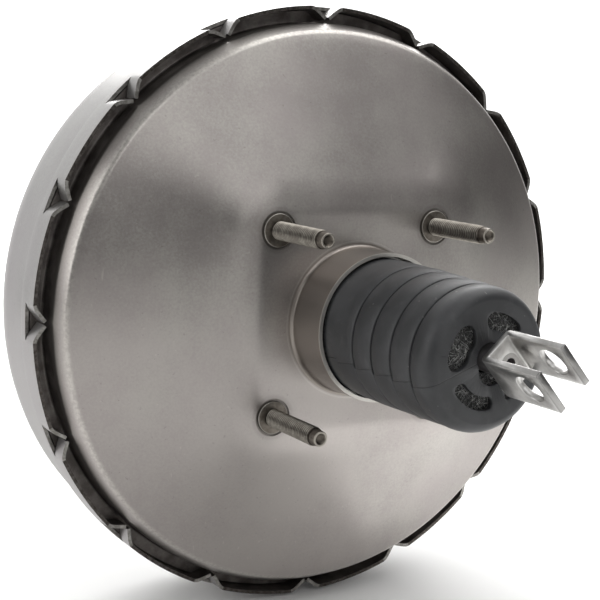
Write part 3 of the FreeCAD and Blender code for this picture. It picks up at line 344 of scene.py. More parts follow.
from_stud = rear_steel.radius(STUD_OUT * MM, STUD_OUT * MM)
# Painted shade: a soft dark halo round each stud, standing in for a dish in the sheet that is not modelled.
rear_colour = rear_steel.mix((1 - from_stud.above(0.0082, 0.0125)) * 0.30, rear_colour, (0.16, 0.145, 0.135))
rear_colour = rear_steel.mix(from_stud.near(0.0104, 0.0012) * 0.10, rear_colour, (0.62, 0.60, 0.56))
# Painted shade: near black in the gap between the stud's collar and the wall of its coined seat.
rear_colour = rear_steel.mix((1 - from_stud.above(0.0077, 0.0086)) * 0.75, rear_colour, (0.09, 0.08, 0.07))
from_axis = rear_steel.radius()
# Painted shade: darker past the rim's crest, and darker still towards the groove.
rim_painted_shade = from_axis.above(0.1245, 0.1275) * 0.45 + rear_steel.along("Y").above(0.026, SKIRT_EDGE * MM) * 0.45
rear_colour = rear_steel.mix(rim_painted_shade, rear_colour, (0.11, 0.10, 0.09))
# A pale ring along the rim's crest: a painted highlight, broken up by noise as rubbed wear.
rubbed = rear_steel.noise(700, detail=2).above(0.40, 0.60) * 0.35 + 0.15
rear_colour = rear_steel.mix(from_axis.near(0.1240, 0.0018) * rubbed, rear_colour, (0.66, 0.64, 0.59))
# The neck's lip is painted pale, a painted highlight on its rolled edge, and the tube past it is painted darker.
past_lip = rear_steel.along("Y").above((NECK_END + 0.3) * MM, (NECK_END + 0.9) * MM)
neck_colour = rear_steel.mix(past_lip, (0.62, 0.60, 0.56), (0.30, 0.27, 0.245))
rear_colour = rear_steel.mix(from_axis.above((NECK + 1.5) * MM, (NECK + 2.2) * MM), neck_colour, rear_colour)
# A painted highlight: a thin pale line where the neck's fillet meets the pad.
painted_root_highlight = from_axis.near((NECK + 2.6) * MM, 0.5 * MM) * 0.3
rear_steel.set(Base_Color=rear_steel.mix(painted_root_highlight, rear_colour, (0.66, 0.64, 0.60)))
rear_paint, front_paint = rear_steel.material, front_steel.material

# %% [markdown]
# The skirt's cut edge is brown, and painted dark as painted shade, while the tongues' edges, which rubbed when
# they were pushed in, are still pale. Behind them, the flange and the walls of the groove are brown with oil and
# dust, and painted darker still as painted shade in the groove. Those faces get finishes of their own.

# %% Cut edges and the groove


def edge_finish(name, dark, light, roughness, metallic, scale):
    """Steel in two tones whose patches vary as the scale says. On the groove and the dark cut edge its dark tones are
    painted shade.
    """
    edge = Finish(name, Metallic=metallic)
    wear = edge.noise(scale, detail=5, roughness=0.6)
    edge.set(Base_Color=edge.mix(wear.above(0.36, 0.68), dark, light), Roughness=roughness + (wear - 0.5) * 0.25,
             Normal=edge.bump(wear, 0.12, 0.0003))
    return edge.material


rubbed_edge = edge_finish("rubbed_cut_edge", (0.19, 0.18, 0.165), (0.36, 0.35, 0.33), 0.34, 0.9, 500)
# Brown steel, painted dark as painted shade on the skirt's cut edge.
brown_shaded_edge = edge_finish("browned_shaded_cut_edge", (0.050, 0.043, 0.038), (0.12, 0.108, 0.10), 0.38, 0.9, 600)
# Brown oil and dust, darkened further as painted shade in the groove.
groove_dirt_and_shade = edge_finish("oily_shaded_groove", (0.085, 0.074, 0.068), (0.20, 0.182, 0.17), 0.42, 0.7, 110)

# %% [markdown]
# ## Metals
#
# Zinc is bright and faintly scratched, and darker at the clevis's cut ends. The springs and plates inside are
# plain working steel. A stud is phosphated like the cover, with painted shade in the roots of its thread: the
# finish reads how far a point is from the stud's own axis, and goes dark below the crests. A painted highlight
# rims its collar and its tip, and painted shade fills the cup in its end.

# %% Metals


def metal_finish(name, dark, light, roughness, scratch=0.2, end=None, end_tone=None):
    """Bare metal. Past an end, a place along Y, it takes another tone."""
    metal = Finish(name, Metallic=1.0)
    clouds = metal.noise(90, detail=5, roughness=0.65)
    colour = metal.mix(clouds.above(0.35, 0.68), dark, light)
    if end:
        tone = metal.mix(clouds.above(0.35, 0.6), tuple(part * 0.7 for part in end_tone), end_tone)
        colour = metal.mix(metal.along("Y").above((end - 0.3) * MM, end * MM), tone, colour)
    metal.set(Base_Color=colour)
    metal.set(Roughness=roughness + (clouds - 0.5) * 0.2)
    scratches = metal.noise(260, detail=3, place=metal.stretched((1, 0.12, 1)))
    grain = metal.bump(metal.noise(1500, detail=2), 0.10, 0.0001)
    metal.set(Normal=metal.bump(scratches, scratch, 0.0003, under=grain))
    return metal.material


ROD_DARK, ROD_LIGHT = (0.27, 0.255, 0.26), (0.38, 0.36, 0.365)
zinc = metal_finish("bright_zinc", (0.50, 0.49, 0.475), (0.70, 0.69, 0.675), 0.32, scratch=0.12,
                    end=CLEVIS_END + 0.7, end_tone=(0.42, 0.41, 0.40))
plain_steel = metal_finish("plain_steel", (0.36, 0.35, 0.33), (0.52, 0.51, 0.49), 0.36)
spring_steel = metal_finish("spring_steel", (0.16, 0.16, 0.165), (0.27, 0.27, 0.28), 0.35, scratch=0.1)
alloy = metal_finish("turned_alloy", (0.6, 0.61, 0.62), (0.74, 0.75, 0.76), 0.3, scratch=0.15)
rod_steel = metal_finish("rod_steel", ROD_DARK, ROD_LIGHT, 0.34)
rod_end = metal_finish("riveted_rod", ROD_DARK, ROD_LIGHT, 0.34, end=CLEVIS_BASE - 1.4, end_tone=(0.56, 0.55, 0.535))


def stud_finish(name, up, collar, point, tip):
    """A stud's phosphate, from the height of its axis and the places of its collar, its point's start and its tip."""
    stud = Finish(name, Metallic=1.0)
    clouds = stud.noise(300, detail=4, roughness=0.6)
    reach = stud.radius(STUD_OUT * MM, up * MM)
    side = 1 if tip > point else -1
    outwards = stud.along("Y") * side

    def past(place, start, stop):
        """Rises from 0 to 1 between two distances from a place, towards the tip."""
        return outwards.above((place * side + start) * MM, (place * side + stop) * MM)

    crest = stud.mix(clouds.above(0.36, 0.66), (0.22, 0.20, 0.175), (0.34, 0.32, 0.28))
    # Painted shade: the thread's roots are near black below the crests.
    root = reach.above((THREAD_ROOT + 0.15) * MM, (THREAD_CREST - 0.1) * MM)
    colour = stud.mix(root, (0.060, 0.050, 0.042), crest)
    dark = stud.mix(clouds.above(0.36, 0.66), (0.12, 0.105, 0.09), (0.20, 0.18, 0.155))
    # A painted highlight: a pale ring round the collar's rounded edge.
    rim = stud.mix(reach.near(0.0070, 0.00035) * 0.6, dark, (0.50, 0.48, 0.44))
    colour = stud.mix(past(collar, 0.1, 0.5), rim, colour)
    colour = stud.mix(past(point, -0.2, 0.2), colour, dark)
    # A painted highlight: a pale rim on the tip's end face.
    lip = past(tip, -0.4, -0.2) * reach.above(0.0022, 0.0024)
    # Painted shade: dark in the hollow cup at the middle of the tip.
    cup = past(tip, -1.3, -0.9) * (1 - reach.above(0.0017, 0.0022))
    colour = stud.mix(lip * 0.7, colour, (0.46, 0.43, 0.38))
    stud.set(Base_Color=stud.mix(cup * 0.6, colour, (0.07, 0.06, 0.05)),
             Roughness=0.42 + (clouds - 0.5) * 0.2, Normal=stud.bump(clouds, 0.06, 0.0003))
    return stud.material


rear_stud_steel = stud_finish("rear_stud_phosphate", STUD_OUT, -0.4, REAR_TIP + 3.7, REAR_TIP)
front_stud_steel = stud_finish("front_stud_phosphate", 0, BOSS_FACE, FRONT_TIP - 3, FRONT_TIP)

# %% [markdown]
# ## Rubber, plastic and felt
#
# The boot is dark satin rubber with a slight bloom and some dust in its creases. A moulding line runs along
# it: a fine groove in a plane through the axis, painted dark as its shade, which starts again a little lower at each
# fold.

# %% Rubber and plastic


def soft_finish(name, dark, light, roughness, dust=0.0):
    """Rubber or plastic: the finish, its colour and its grain, so that more can be laid over them."""
    skin = Finish(name)
    clouds = skin.noise(60, detail=5, roughness=0.6)
    colour = skin.mix(clouds.above(0.38, 0.68), dark, light)
    dusty = skin.noise(180, detail=6, roughness=0.7).above(0.52, 0.85) * dust
    colour = skin.mix(dusty, colour, (0.3, 0.3, 0.29))
    texture = skin.bump(skin.noise(900, detail=3), 0.08, 0.0002)
    skin.set(Roughness=roughness + (clouds - 0.5) * 0.2, Base_Color=colour, Normal=texture)
    return skin, colour, texture


boot_skin, boot_colour, boot_texture = soft_finish(
    "boot_rubber", (0.029, 0.030, 0.032), (0.048, 0.049, 0.052), 0.48, dust=0.10)
parting_turn = math.radians(PARTING)
across = boot_skin.along("Z") * math.cos(parting_turn) * -1 + boot_skin.along("X") * math.sin(parting_turn)
outward = boot_skin.along("X") * math.cos(parting_turn) + boot_skin.along("Z") * math.sin(parting_turn)
rise = ((boot_skin.along("Y") + FOLD_START * MM) / (FOLD_STEP * MM)).math("FRACT") * 0.0019
# The moulding line: a groove in the bump, and painted shade in the colour along it.
parting = (across + rise - 0.0009).near(0.0, 0.00028) * outward.above(0.004, 0.005)
specks = boot_skin.noise(420, detail=1).above(0.75, 0.80) * 0.35
boot_colour = boot_skin.mix(specks, boot_colour, (0.22, 0.22, 0.21))
boot_skin.set(Base_Color=boot_skin.mix(parting * 0.85, boot_colour, (0.004, 0.004, 0.005)),
              Normal=boot_skin.bump(1 - parting, 0.6, 0.0003, under=boot_texture))
boot_rubber = boot_skin.material

black_rubber = soft_finish("black_rubber", (0.016, 0.016, 0.017), (0.028, 0.028, 0.029), 0.55, 0.05)[0].material
hub_plastic = soft_finish("hub_phenolic", (0.05, 0.037, 0.03), (0.085, 0.065, 0.052), 0.42)[0].material
valve_plastic = soft_finish("valve_nylon", (0.014, 0.014, 0.015), (0.026, 0.026, 0.027), 0.36)[0].material
bearing_plastic = soft_finish("bearing_plastic", (0.45, 0.42, 0.36), (0.6, 0.57, 0.5), 0.5)[0].material

# %% [markdown]
# The silencer behind the boot's slots is a coarse felt of dark and pale fibres. Its material gives the web
# between them, and real fibres are laid on it further down.

# %% Felt


def felt_finish(name, dark, light):
    """A web of pale threads on a dark ground."""
    felt = Finish(name, Roughness=0.95)
    web = felt.node("ShaderNodeTexVoronoi", {"feature": "DISTANCE_TO_EDGE"}, {"Vector": felt.place, "Scale": 900})
    threads = 1 - web.above(0.0, 0.10)
    patches = felt.noise(500, detail=4)
    felt.set(Base_Color=felt.mix(threads * patches.above(0.38, 0.62), dark, light),
             Normal=felt.bump(threads + patches, 0.8, 0.0006))
    return felt.material


felt_grey = felt_finish("silencer_felt", (0.040, 0.041, 0.040), (0.24, 0.24, 0.235))
felt_pale = felt_finish("filter_felt", (0.16, 0.15, 0.13), (0.42, 0.40, 0.36))
fibre = Finish("pale_fibre", Roughness=0.6)
fibre_tone = fibre.noise(400, detail=2)
fibre.set(Base_Color=fibre.mix(fibre_tone.above(0.4, 0.6), (0.20, 0.20, 0.20), (0.62, 0.62, 0.60)))
fibre_pale = fibre.material
print("finishes:", len(bpy.data.materials))

# %% [markdown]
# ## Turning a profile
#
# Most of a booster is turned or drawn, so a piece starts as a wire in the plane of the axis: places along Y
# and radii, in millimetres. A corner with a third number is rounded to that radius with a vertex bevel, whose
# offset is the length of the arc's tangent. Then the wire is spun about the axis.

# %% Wires and turning


def wire(shape, corners, closed=False, arc_step=15):
    """A wire in the YZ plane with rounded corners."""
    points = [Vector((0, corner[0], corner[1])) * MM for corner in corners]
    verts = [shape.verts.new(point) for point in points]
    count = len(verts)
    for index in range(count if closed else count - 1):
        shape.edges.new((verts[index], verts[(index + 1) % count]))
    for index, corner in enumerate(corners):
        if len(corner) > 2:
            before = (points[index - 1] - points[index]).normalized()
            after = (points[(index + 1) % count] - points[index]).normalized()
            bend = math.pi - before.angle(after)
            bmesh.ops.bevel(shape, geom=[verts[index]], offset=corner[2] * MM * math.tan(bend / 2),
                            offset_type="OFFSET", segments=max(2, round(math.degrees(bend) / arc_step)),
                            profile=0.5, affect="VERTICES", material=-1)
    return shape


def spin(shape, steps, angle=360, lead=0.0):
    """Turns what is in the shape about the Y axis, with a lead in millimetres for a screw."""
    whole = angle == 360 and lead == 0
    bmesh.ops.spin(shape, geom=shape.verts[:] + shape.edges[:], cent=(0, 0, 0), axis=(0, 1, 0),
                   dvec=(0, lead * MM / steps, 0), angle=math.radians(angle), steps=steps,
                   use_merge=whole, use_duplicate=False)
    bmesh.ops.remove_doubles(shape, verts=shape.verts, dist=1e-7)
    bmesh.ops.recalc_face_normals(shape, faces=shape.faces)
    return shape


def face_outwards(shape):
    """Turns an open sheet so that its faces look away from the middle of the drum."""
    middle = Vector((0, 50, 0)) * MM
    shape.normal_update()
    if sum((face.calc_center_median() - middle).dot(face.normal) * face.calc_area() for face in shape.faces) < 0:
        bmesh.ops.reverse_faces(shape, faces=shape.faces)


def turned(corners, steps=128, closed=True):
    """A new shape from a wire in one full turn."""
    return spin(wire(bmesh.new(), corners, closed), steps)


def drill(start, stop, radius, steps=48):
    """A cylinder along Y, to cut a hole with."""
    return turned([(start, 0), (start, radius), (stop, radius), (stop, 0)], steps, closed=False)


def move(shape, x=0.0, y=0.0, z=0.0):
    """The shape, moved by millimetres."""
    bmesh.ops.translate(shape, verts=shape.verts, vec=Vector((x, y, z)) * MM)
    return shape


def rotate(shape, degrees, axis):
    """The shape, turned about an axis through the origin."""
    bmesh.ops.rotate(shape, verts=shape.verts, cent=(0, 0, 0), matrix=Matrix.Rotation(math.radians(degrees), 3, axis))
    return shape


def at_places(shape, places, twist=0):
    """Copies of the shape at each place in millimetres, each turned a little further about its own axis."""
    first = shape.verts[:] + shape.edges[:] + shape.faces[:]
    for number, place in enumerate(places):
        copy = bmesh.ops.duplicate(shape, geom=first)["geom"]
        verts = [item for item in copy if isinstance(item, bmesh.types.BMVert)]
        turn = Matrix.Rotation(math.radians(twist * number), 3, "Y")
        bmesh.ops.rotate(shape, verts=verts, cent=(0, 0, 0), matrix=turn)
        bmesh.ops.translate(shape, verts=verts, vec=Vector(place) * MM)
    bmesh.ops.delete(shape, geom=[item for item in first if isinstance(item, bmesh.types.BMVert)], context="VERTS")
    return shape


# %% [markdown]
# ## From a shape to a piece
#
# Each piece sits at the origin with its place in its mesh. Modifiers give a sheet its thickness, cut holes and
# put a small bevel on the sharp edges, because a real edge always catches a line of light.

# %% Pieces


def add_piece(name, shape, *materials):
    """A bmesh as a new object at the origin."""
    mesh = bpy.data.meshes.new(name)
    shape.to_mesh(mesh)
    shape.free()
    for material in materials:
        mesh.materials.append(material)
    piece = bpy.data.objects.new(name, mesh)
    scene.collection.objects.link(piece)
    return shade(piece)


def shade(piece):
    """Smooth faces, with a sharp edge wherever two of them meet at a clear angle."""
    piece.data.shade_smooth()
    piece.data.set_sharp_from_angle(angle=math.radians(38))
    return piece


def modify(piece, kind, **settings):
    """The piece, with one more modifier."""
    modifier = piece.modifiers.new(kind.lower(), kind)
    for key, value in settings.items():
        setattr(modifier, key, value)
    return piece


def bake(piece):
    """Turns the piece's modifiers into its mesh."""
    graph = bpy.context.evaluated_depsgraph_get()
    baked = bpy.data.meshes.new_from_object(piece.evaluated_get(graph))
    piece.modifiers.clear()
    old, piece.data = piece.data, baked
    bpy.data.meshes.remove(old)
    baked.name = piece.name
    return shade(piece)


def thicken(piece, **materials):
    """Gives a steel sheet its wall, on the inner side."""
    return modify(piece, "SOLIDIFY", thickness=SHEET * MM, offset=-1, use_even_offset=True, **materials)


def soften(piece, width, segments=2, angle=45):
    """A fine bevel on every sharp edge."""
    return modify(piece, "BEVEL", width=width * MM, segments=segments, limit_method="ANGLE",
                  angle_limit=math.radians(angle), harden_normals=True)


def cut(piece, shape):
    """Takes a closed shape away from the piece."""
    cutter = add_piece("cutter", shape)
    modify(piece, "BOOLEAN", operation="DIFFERENCE", object=cutter, solver="EXACT")
    bake(piece)
    bpy.data.objects.remove(cutter)
    return piece


def seat(piece, body, slot, *replaced):
    """The piece rides on its body, and stands for its CAD nodes."""
    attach(piece, body)
    if replaced:
        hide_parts(*replaced)
    print(piece.name, "has", len(piece.data.polygons), "faces")
    return piece


def ramp(distance, width):
    """0 before a bend, the distance after it, and a smooth curve of that width between."""
    if distance <= -width:
        return 0.0
    return distance if distance >= width else (distance + width) ** 2 / (4 * width)


# %% [markdown]
# ## The rear shell
#
# The cover is drawn from one sheet: a square pad, a soft brow round it, four slopes that run out to the round
# rim, a side wall and a flange. A spin gives the rings, and then the points of the slopes are pushed along the
# axis to the depth that the pressing has there. The depth follows two rounded squares: up to the first the
# sheet is flat, between them it falls gently, and past the second it falls to the rim.

# %% The pressing's depth
PAD = (48.0, 11.0)  # half of a side, and the radius of the corners
BROW = (58.0, 21.0)
PAD_BEND, BROW_BEND = 2.2, 5.0
BROW_DEPTH, SLOPE_DEPTH, RIM_START = 1.7, 22.0, 120.0


def square_reach(angle, half, corner):
    """How far a rounded square reaches from its centre in a direction."""
    across, up = abs(math.cos(angle)), abs(math.sin(angle))
    centre = half - corner
    flat = half / max(across, up)
    if min(across, up) * flat <= centre:
        return flat
    along = centre * (across + up)
    return along + math.sqrt(max(along * along - 2 * centre * centre + corner * corner, 0))


def pressing_depth(angle, radius):
    """How far the sheet lies behind the pad, in the direction of the drum's front."""
    pad, brow = square_reach(angle, *PAD), square_reach(angle, *BROW)
    first = BROW_DEPTH / (brow - pad)
    second = (SLOPE_DEPTH - BROW_DEPTH) / (RIM_START - brow)
    return first * ramp(radius - pad, PAD_BEND) + (second - first) * ramp(radius - brow, BROW_BEND)


print("depth at the rim:", round(pressing_depth(0, RIM_START), 2), round(pressing_depth(math.pi / 4, RIM_START), 2))

# %% The rear shell
RIM_WALL = 127.45
STUD_SEAT, STUD_SEAT_DEPTH, STUD_HOLE = 8.15, 0.6, 4.6

rear = bmesh.new()
wire(rear, [
    (NECK_END, NECK), (-15, NECK), (-8, NECK), (0, NECK, 1.5),
    *[(0, 36 + 2 * step) for step in range(4)], *[(0, 43.5 + 1.5 * step) for step in range(51)],
    (SLOPE_DEPTH, RIM_START), (23.5, 124.1, 3.6), (30.2, 127.3, 4), (SKIRT_EDGE, RIM_WALL),
    (FLANGE, RIM_WALL, 1.2), (FLANGE, 130), (FLANGE, FLANGE_EDGE),
], arc_step=8)
spin(rear, 360)
for vert in rear.verts:
    radius = math.hypot(vert.co.x, vert.co.z) / MM
    if NECK + 3 < radius < RIM_START - 0.1 and abs(vert.co.y) < 1e-6:
        vert.co.y = pressing_depth(math.atan2(vert.co.z, vert.co.x), radius) * MM
face_outwards(rear)
# The side wall and flange past the skirt's edge take the oily groove finish, dark partly as painted shade.
for face in rear.faces:
    if face.calc_center_median().y > SKIRT_EDGE * MM:
        face.material_index = 1
rear_cover = add_piece("rear_cover", rear, rear_paint, groove_dirt_and_shade)
bake(thicken(rear_cover))

STUDS = [(x, 0, z) for x in (-STUD_OUT, STUD_OUT) for z in (-STUD_OUT, STUD_OUT)]
seat_cutter = turned([
    (-1, 0), (-1, STUD_SEAT), (STUD_SEAT_DEPTH, STUD_SEAT), (STUD_SEAT_DEPTH, STUD_HOLE), (3, STUD_HOLE), (3, 0),
], 64, closed=False)
cut(rear_cover, at_places(seat_cutter, STUDS))
soften(rear_cover, 0.45, segments=3)
seat(rear_cover, "housing", "rear_paint", "rear_shell")

# %% [markdown]
# ## The front shell and its lances
#
# The drum ends in a wider skirt that reaches back over the rear shell's flange. At sixteen places the skirt is
# slit across, split in the middle and pushed inwards, so that two tongues stand behind the flange and hold it.
# The spin has 36 columns for each lance. They are shifted so that one column lies on each cut, the faces in
# the cuts are taken out, and the tongues' points are pulled inwards along a V.

# %% The front shell
LANCES, COLUMNS, EDGE_COLUMN = 16, 36, 6
HALF_LANCE, HALF_SPLIT = 7.75, 0.4
TONGUE_SLOPE, TONGUE_EDGE, TONGUE_BEND = 0.79, 1.2, 1.8
SLIT = FLANGE - 0.5
SKIRT_STEP, DRUM, DRUM_END = 47.5, 131, 100
VALVE_HEIGHT, VALVE_HOLE = 84, 10.5
SPACING = 360 / LANCES
half_angle = math.degrees(HALF_LANCE / SKIRT)
split_angle = math.degrees(HALF_SPLIT / SKIRT)


def lance_column(x, z):
    """The lance's number and the column's place in it, from -18 to 18."""
    column = round(math.degrees(math.atan2(x, z)) * COLUMNS / SPACING)
    lance = round(column / COLUMNS)
    return lance, column - lance * COLUMNS


def column_angle(column):
    """Degrees from the lance's middle at which a column lies after the shift."""
    size, sign = abs(column), (1 if column >= 0 else -1)
    if size == 0:
        return 0.0
    if size <= EDGE_COLUMN:
        return sign * (split_angle + (half_angle - split_angle) * (size - 1) / (EDGE_COLUMN - 1))
    rest = (size - EDGE_COLUMN) / (COLUMNS / 2 - EDGE_COLUMN)
    return sign * (half_angle + (SPACING / 2 - half_angle) * rest)


front = bmesh.new()
wire(front, [
    *[(SKIRT_EDGE + 1.05 * row, SKIRT) for row in range(9)], (FLANGE, SKIRT), (FLANGE + 2, SKIRT),
    (SKIRT_STEP, SKIRT, 0.8), (SKIRT_STEP, DRUM, 0.8), (56, DRUM), (66, DRUM), (76, DRUM),
    (DRUM_END, DRUM, 22), (DRUM_END, 100), (DRUM_END, 84), (DRUM_END, 68, 6),
    (BOSS_FACE, 58, 6), (BOSS_FACE, 40), (BOSS_FACE, 20, 1.5), (BOSS_FACE - 7, 20),
], arc_step=9)
spin(front, LANCES * COLUMNS)
in_lance = {}
for vert in front.verts:
    radius = math.hypot(vert.co.x, vert.co.z)
    lance, column = lance_column(vert.co.x, vert.co.z)
    in_lance[vert] = column
    angle = math.radians(lance * SPACING + column_angle(column))
    if vert.co.y < SLIT * MM and abs(column) < EDGE_COLUMN:
        beside = math.radians(abs(column_angle(column))) * SKIRT
        radius -= TONGUE_SLOPE * ramp(HALF_LANCE - TONGUE_EDGE - beside, TONGUE_BEND) * MM
    vert.co.x, vert.co.z = radius * math.sin(angle), radius * math.cos(angle)
gone = []
for face in front.faces:
    columns = [in_lance[vert] for vert in face.verts]
    place = face.calc_center_median().y / MM
    in_slit = SLIT < place < FLANGE - 0.05 and all(abs(column) <= EDGE_COLUMN for column in columns)
    in_split = place < SLIT and all(abs(column) <= 1 for column in columns)
    if in_slit or in_split:
        gone.append(face)
bmesh.ops.delete(front, geom=gone, context="FACES")
face_outwards(front)
drum = add_piece("front_drum", front, front_paint, groove_dirt_and_shade, rubbed_edge, brown_shaded_edge)
# The inner side takes the oily groove finish, dark partly as painted shade, and the cut edges the rubbed finish.
bake(thicken(drum, material_offset=1, material_offset_rim=2))
# Cut edges away from the lances take the brown finish that is painted dark as shade.
for face in drum.data.polygons:
    lances = math.degrees(math.atan2(face.center.x, face.center.z)) / SPACING
    if face.material_index == 2 and abs(lances - round(lances)) * SPACING > half_angle + 0.1:
        face.material_index = 3
FRONT_STUDS = [(-STUD_OUT, 0, 0), (STUD_OUT, 0, 0)]
cut(drum, at_places(drill(BOSS_FACE - 4, BOSS_FACE + 3, STUD_HOLE - 0.05), FRONT_STUDS))
cut(drum, move(drill(DRUM_END - 4, DRUM_END + 3, VALVE_HOLE, 64), z=VALVE_HEIGHT))
soften(drum, 0.3)
seat(drum, "housing", "front_paint", "front_shell")

# %% [markdown]
# ## Studs
#
# A stud's thread is a tooth profile one pitch long, spun with a lead of one pitch for each turn. Near the end
# the crests are turned down to the dog point's cone, as a real stud's chamfer does. The collar, the core and
# the dog point are turned from one wire. The four studs stand at different angles, as they were pressed in.

# %% Threads and studs
PITCH = 1.25
REAR_CHAMFER, FRONT_CHAMFER, CHAMFER_SLOPE = -34.2, -20.6, 0.55
BELOW_ROOT = 3.28


def threaded_stud(corners, start, stop, cone):
    """A stud towards -Y: its core from corners, and a thread between two places that cone(y) trims."""
    stud = spin(wire(bmesh.new(), corners, arc_step=20), 40)
    turns = math.ceil((start - stop) / PITCH)
    tooth = [(0, THREAD_ROOT), (0.16, 3.34), (0.50, 3.90), (0.62, THREAD_CREST), (0.70, THREAD_CREST),
             (0.82, 3.90), (1.12, 3.34), (PITCH, THREAD_ROOT)]
    thread = wire(bmesh.new(), [(stop + place, radius) for place, radius in tooth])
    spin(thread, 32 * turns, angle=360 * turns, lead=PITCH * turns)
    for vert in thread.verts:
        radius = math.hypot(vert.co.x, vert.co.z)
        limit = min(radius, cone(vert.co.y / MM) * MM)
        vert.co.x, vert.co.z = vert.co.x * limit / radius, vert.co.z * limit / radius
    bmesh.ops.remove_doubles(thread, verts=thread.verts, dist=1e-7)
    joined = bpy.data.meshes.new("thread")
    thread.to_mesh(joined)
    thread.free()
    stud.from_mesh(joined)
    bpy.data.meshes.remove(joined)
    return stud


def chamfer(place, start):
    """How far out the crests may reach: in full up to the chamfer's start, and then down to the root."""
    return THREAD_CREST - min(max(start - place, 0) * CHAMFER_SLOPE, THREAD_CREST - BELOW_ROOT)


def rear_cone(place):
    """The chamfer, and the thread's run-out under the collar."""
    return min(chamfer(place, REAR_CHAMFER), max(BELOW_ROOT, THREAD_CREST - max(place + 0.8, 0) * 1.4))


stud = threaded_stud([
    (7, 0), (7, 8.5), (4, 8.5), (4, 4.4), (0.6, 4.4), (0.6, 7.15, 0.15), (-0.4, 7.15, 0.35), (-0.4, THREAD_ROOT),
    (REAR_TIP + 3.8, THREAD_ROOT), (REAR_TIP + 3.3, 3.45, 0.3), (REAR_TIP, 3.15, 0.3), (REAR_TIP, 2.45, 0.2),
    (REAR_TIP + 0.8, 1.7, 0.6), (REAR_TIP + 1.1, 0),
], -0.4, REAR_TIP + 3.4, rear_cone)
at_places(stud, STUDS, twist=73)
seat(add_piece("firewall_studs_threaded", stud, rear_stud_steel), "housing", "stud_steel", "firewall_studs")

front_stud = threaded_stud([
    (7, 0), (7, 7.5), (4, 7.5), (4, 4.4), (0, 4.4), (0, THREAD_ROOT), (-21.6, THREAD_ROOT),
    (-22.2, 3.40, 0.3), (-25, 3.40, 0.4), (-25, 0),
], -0.1, -22.0, lambda place: chamfer(place, FRONT_CHAMFER))
rotate(front_stud, 180, "Z")
move(front_stud, y=BOSS_FACE)
at_places(front_stud, FRONT_STUDS, twist=50)
seat(add_piece("master_cylinder_studs_threaded", front_stud, front_stud_steel), "housing", "stud_steel",
     "master_cylinder_studs")

# %% [markdown]
# ## The boot
#
# The boot is moulded rubber with five folds and a flat face round the push rod. Its creases are deep, sharp
# grooves, so the profile has a rounded shoulder on both sides of each one. The boot hangs down by three quarters
# of a degree about the rod's ball, while the rod itself points up by half a degree.

# %% The boot's profile
BALL = (0, -11, 0)
DROOP, ROD_TILT, ROD_LIFT = 0.75, -0.5, 1.8
CREASES, FIRST_FOLD, LAST_FOLD = 4, 29.7, 28.6
CREASE_KEPT, CREASE_SHIFT = 0.3, 0.35
BOOT_LIP, BOOT_FACE, BOOT_HOLE = -18.2, -93, 5.9
BOOT_INSIDE = BOOT_FACE + 2.3


def skin_radius(place):
    """The radius of the boot's skin, which tapers from the first crease to the last."""
    return FIRST_FOLD - (FIRST_FOLD - LAST_FOLD) * (-FOLD_START - place) / (FOLD_STEP * (CREASES - 1))


def about_ball(degrees):
    """A tilt about the ball at the push rod's front end."""
    pivot = Matrix.Translation(Vector(BALL) * MM)
    return pivot @ Matrix.Rotation(math.radians(degrees), 4, "X") @ pivot.inverted()


folds = [(BOOT_LIP, 29.5), (-24.6, 29.55), (-31, 29.75), (-37, 29.7)]
for number in range(CREASES):
    place = -(FOLD_START + FOLD_STEP * number)
    fold = skin_radius(place)
    folds += [(place + 1.3, fold - 0.05), (place + 0.45, fold - 0.35, 0.3), (place + 0.05, fold - 1.7)]
    folds += [(place - 0.4, fold - 0.55, 0.25), (place - 1.7, fold - 0.05), (place - 5, fold + 0.05)]
    if number < CREASES - 1:
        folds.append((place - 9, fold))
folds += [
    (BOOT_FACE, 28.4, 6.5), (BOOT_FACE, 24), (BOOT_FACE, 20), (BOOT_FACE, BOOT_HOLE - 2.5),
    (BOOT_INSIDE, BOOT_HOLE - 2.5), (BOOT_INSIDE, 26.1, 4.5), (-60, 26.6), (BOOT_LIP, 27.5),
]
boot_shape = turned(folds, 240)
print("folds:", len(folds), "corners")

# %% [markdown]
# The mould has two halves. Above the moulding line its creases are deep, and below it they are shallow, and a
# little further along the boot. So the points of the lower half are pulled back towards the smooth skin.

# %% The boot's lower half
for vert in boot_shape.verts:
    radius, place = math.hypot(vert.co.x, vert.co.z) / MM, vert.co.y / MM
    turned_by = math.degrees(math.atan2(vert.co.z, vert.co.x))
    if PARTING - 0.5 < turned_by < PARTING + 179.5 and -83 < place < -38 and radius > 27.0:
        smooth = skin_radius(place)
        wanted = smooth - max(smooth - radius, 0) * CREASE_KEPT
        vert.co.x, vert.co.z = vert.co.x * wanted / radius, vert.co.z * wanted / radius
        vert.co.y -= CREASE_SHIFT * MM

# %% [markdown]
# Four kidney slots let the air in, each of its own size. The push rod comes through a hole that sits a little
# above the middle and gapes under it. A slot's cutter starts as a bar with round ends, made from a cube with four
# bevelled edges. Cuts across it let it bend round the axis.

# %% The boot's slots


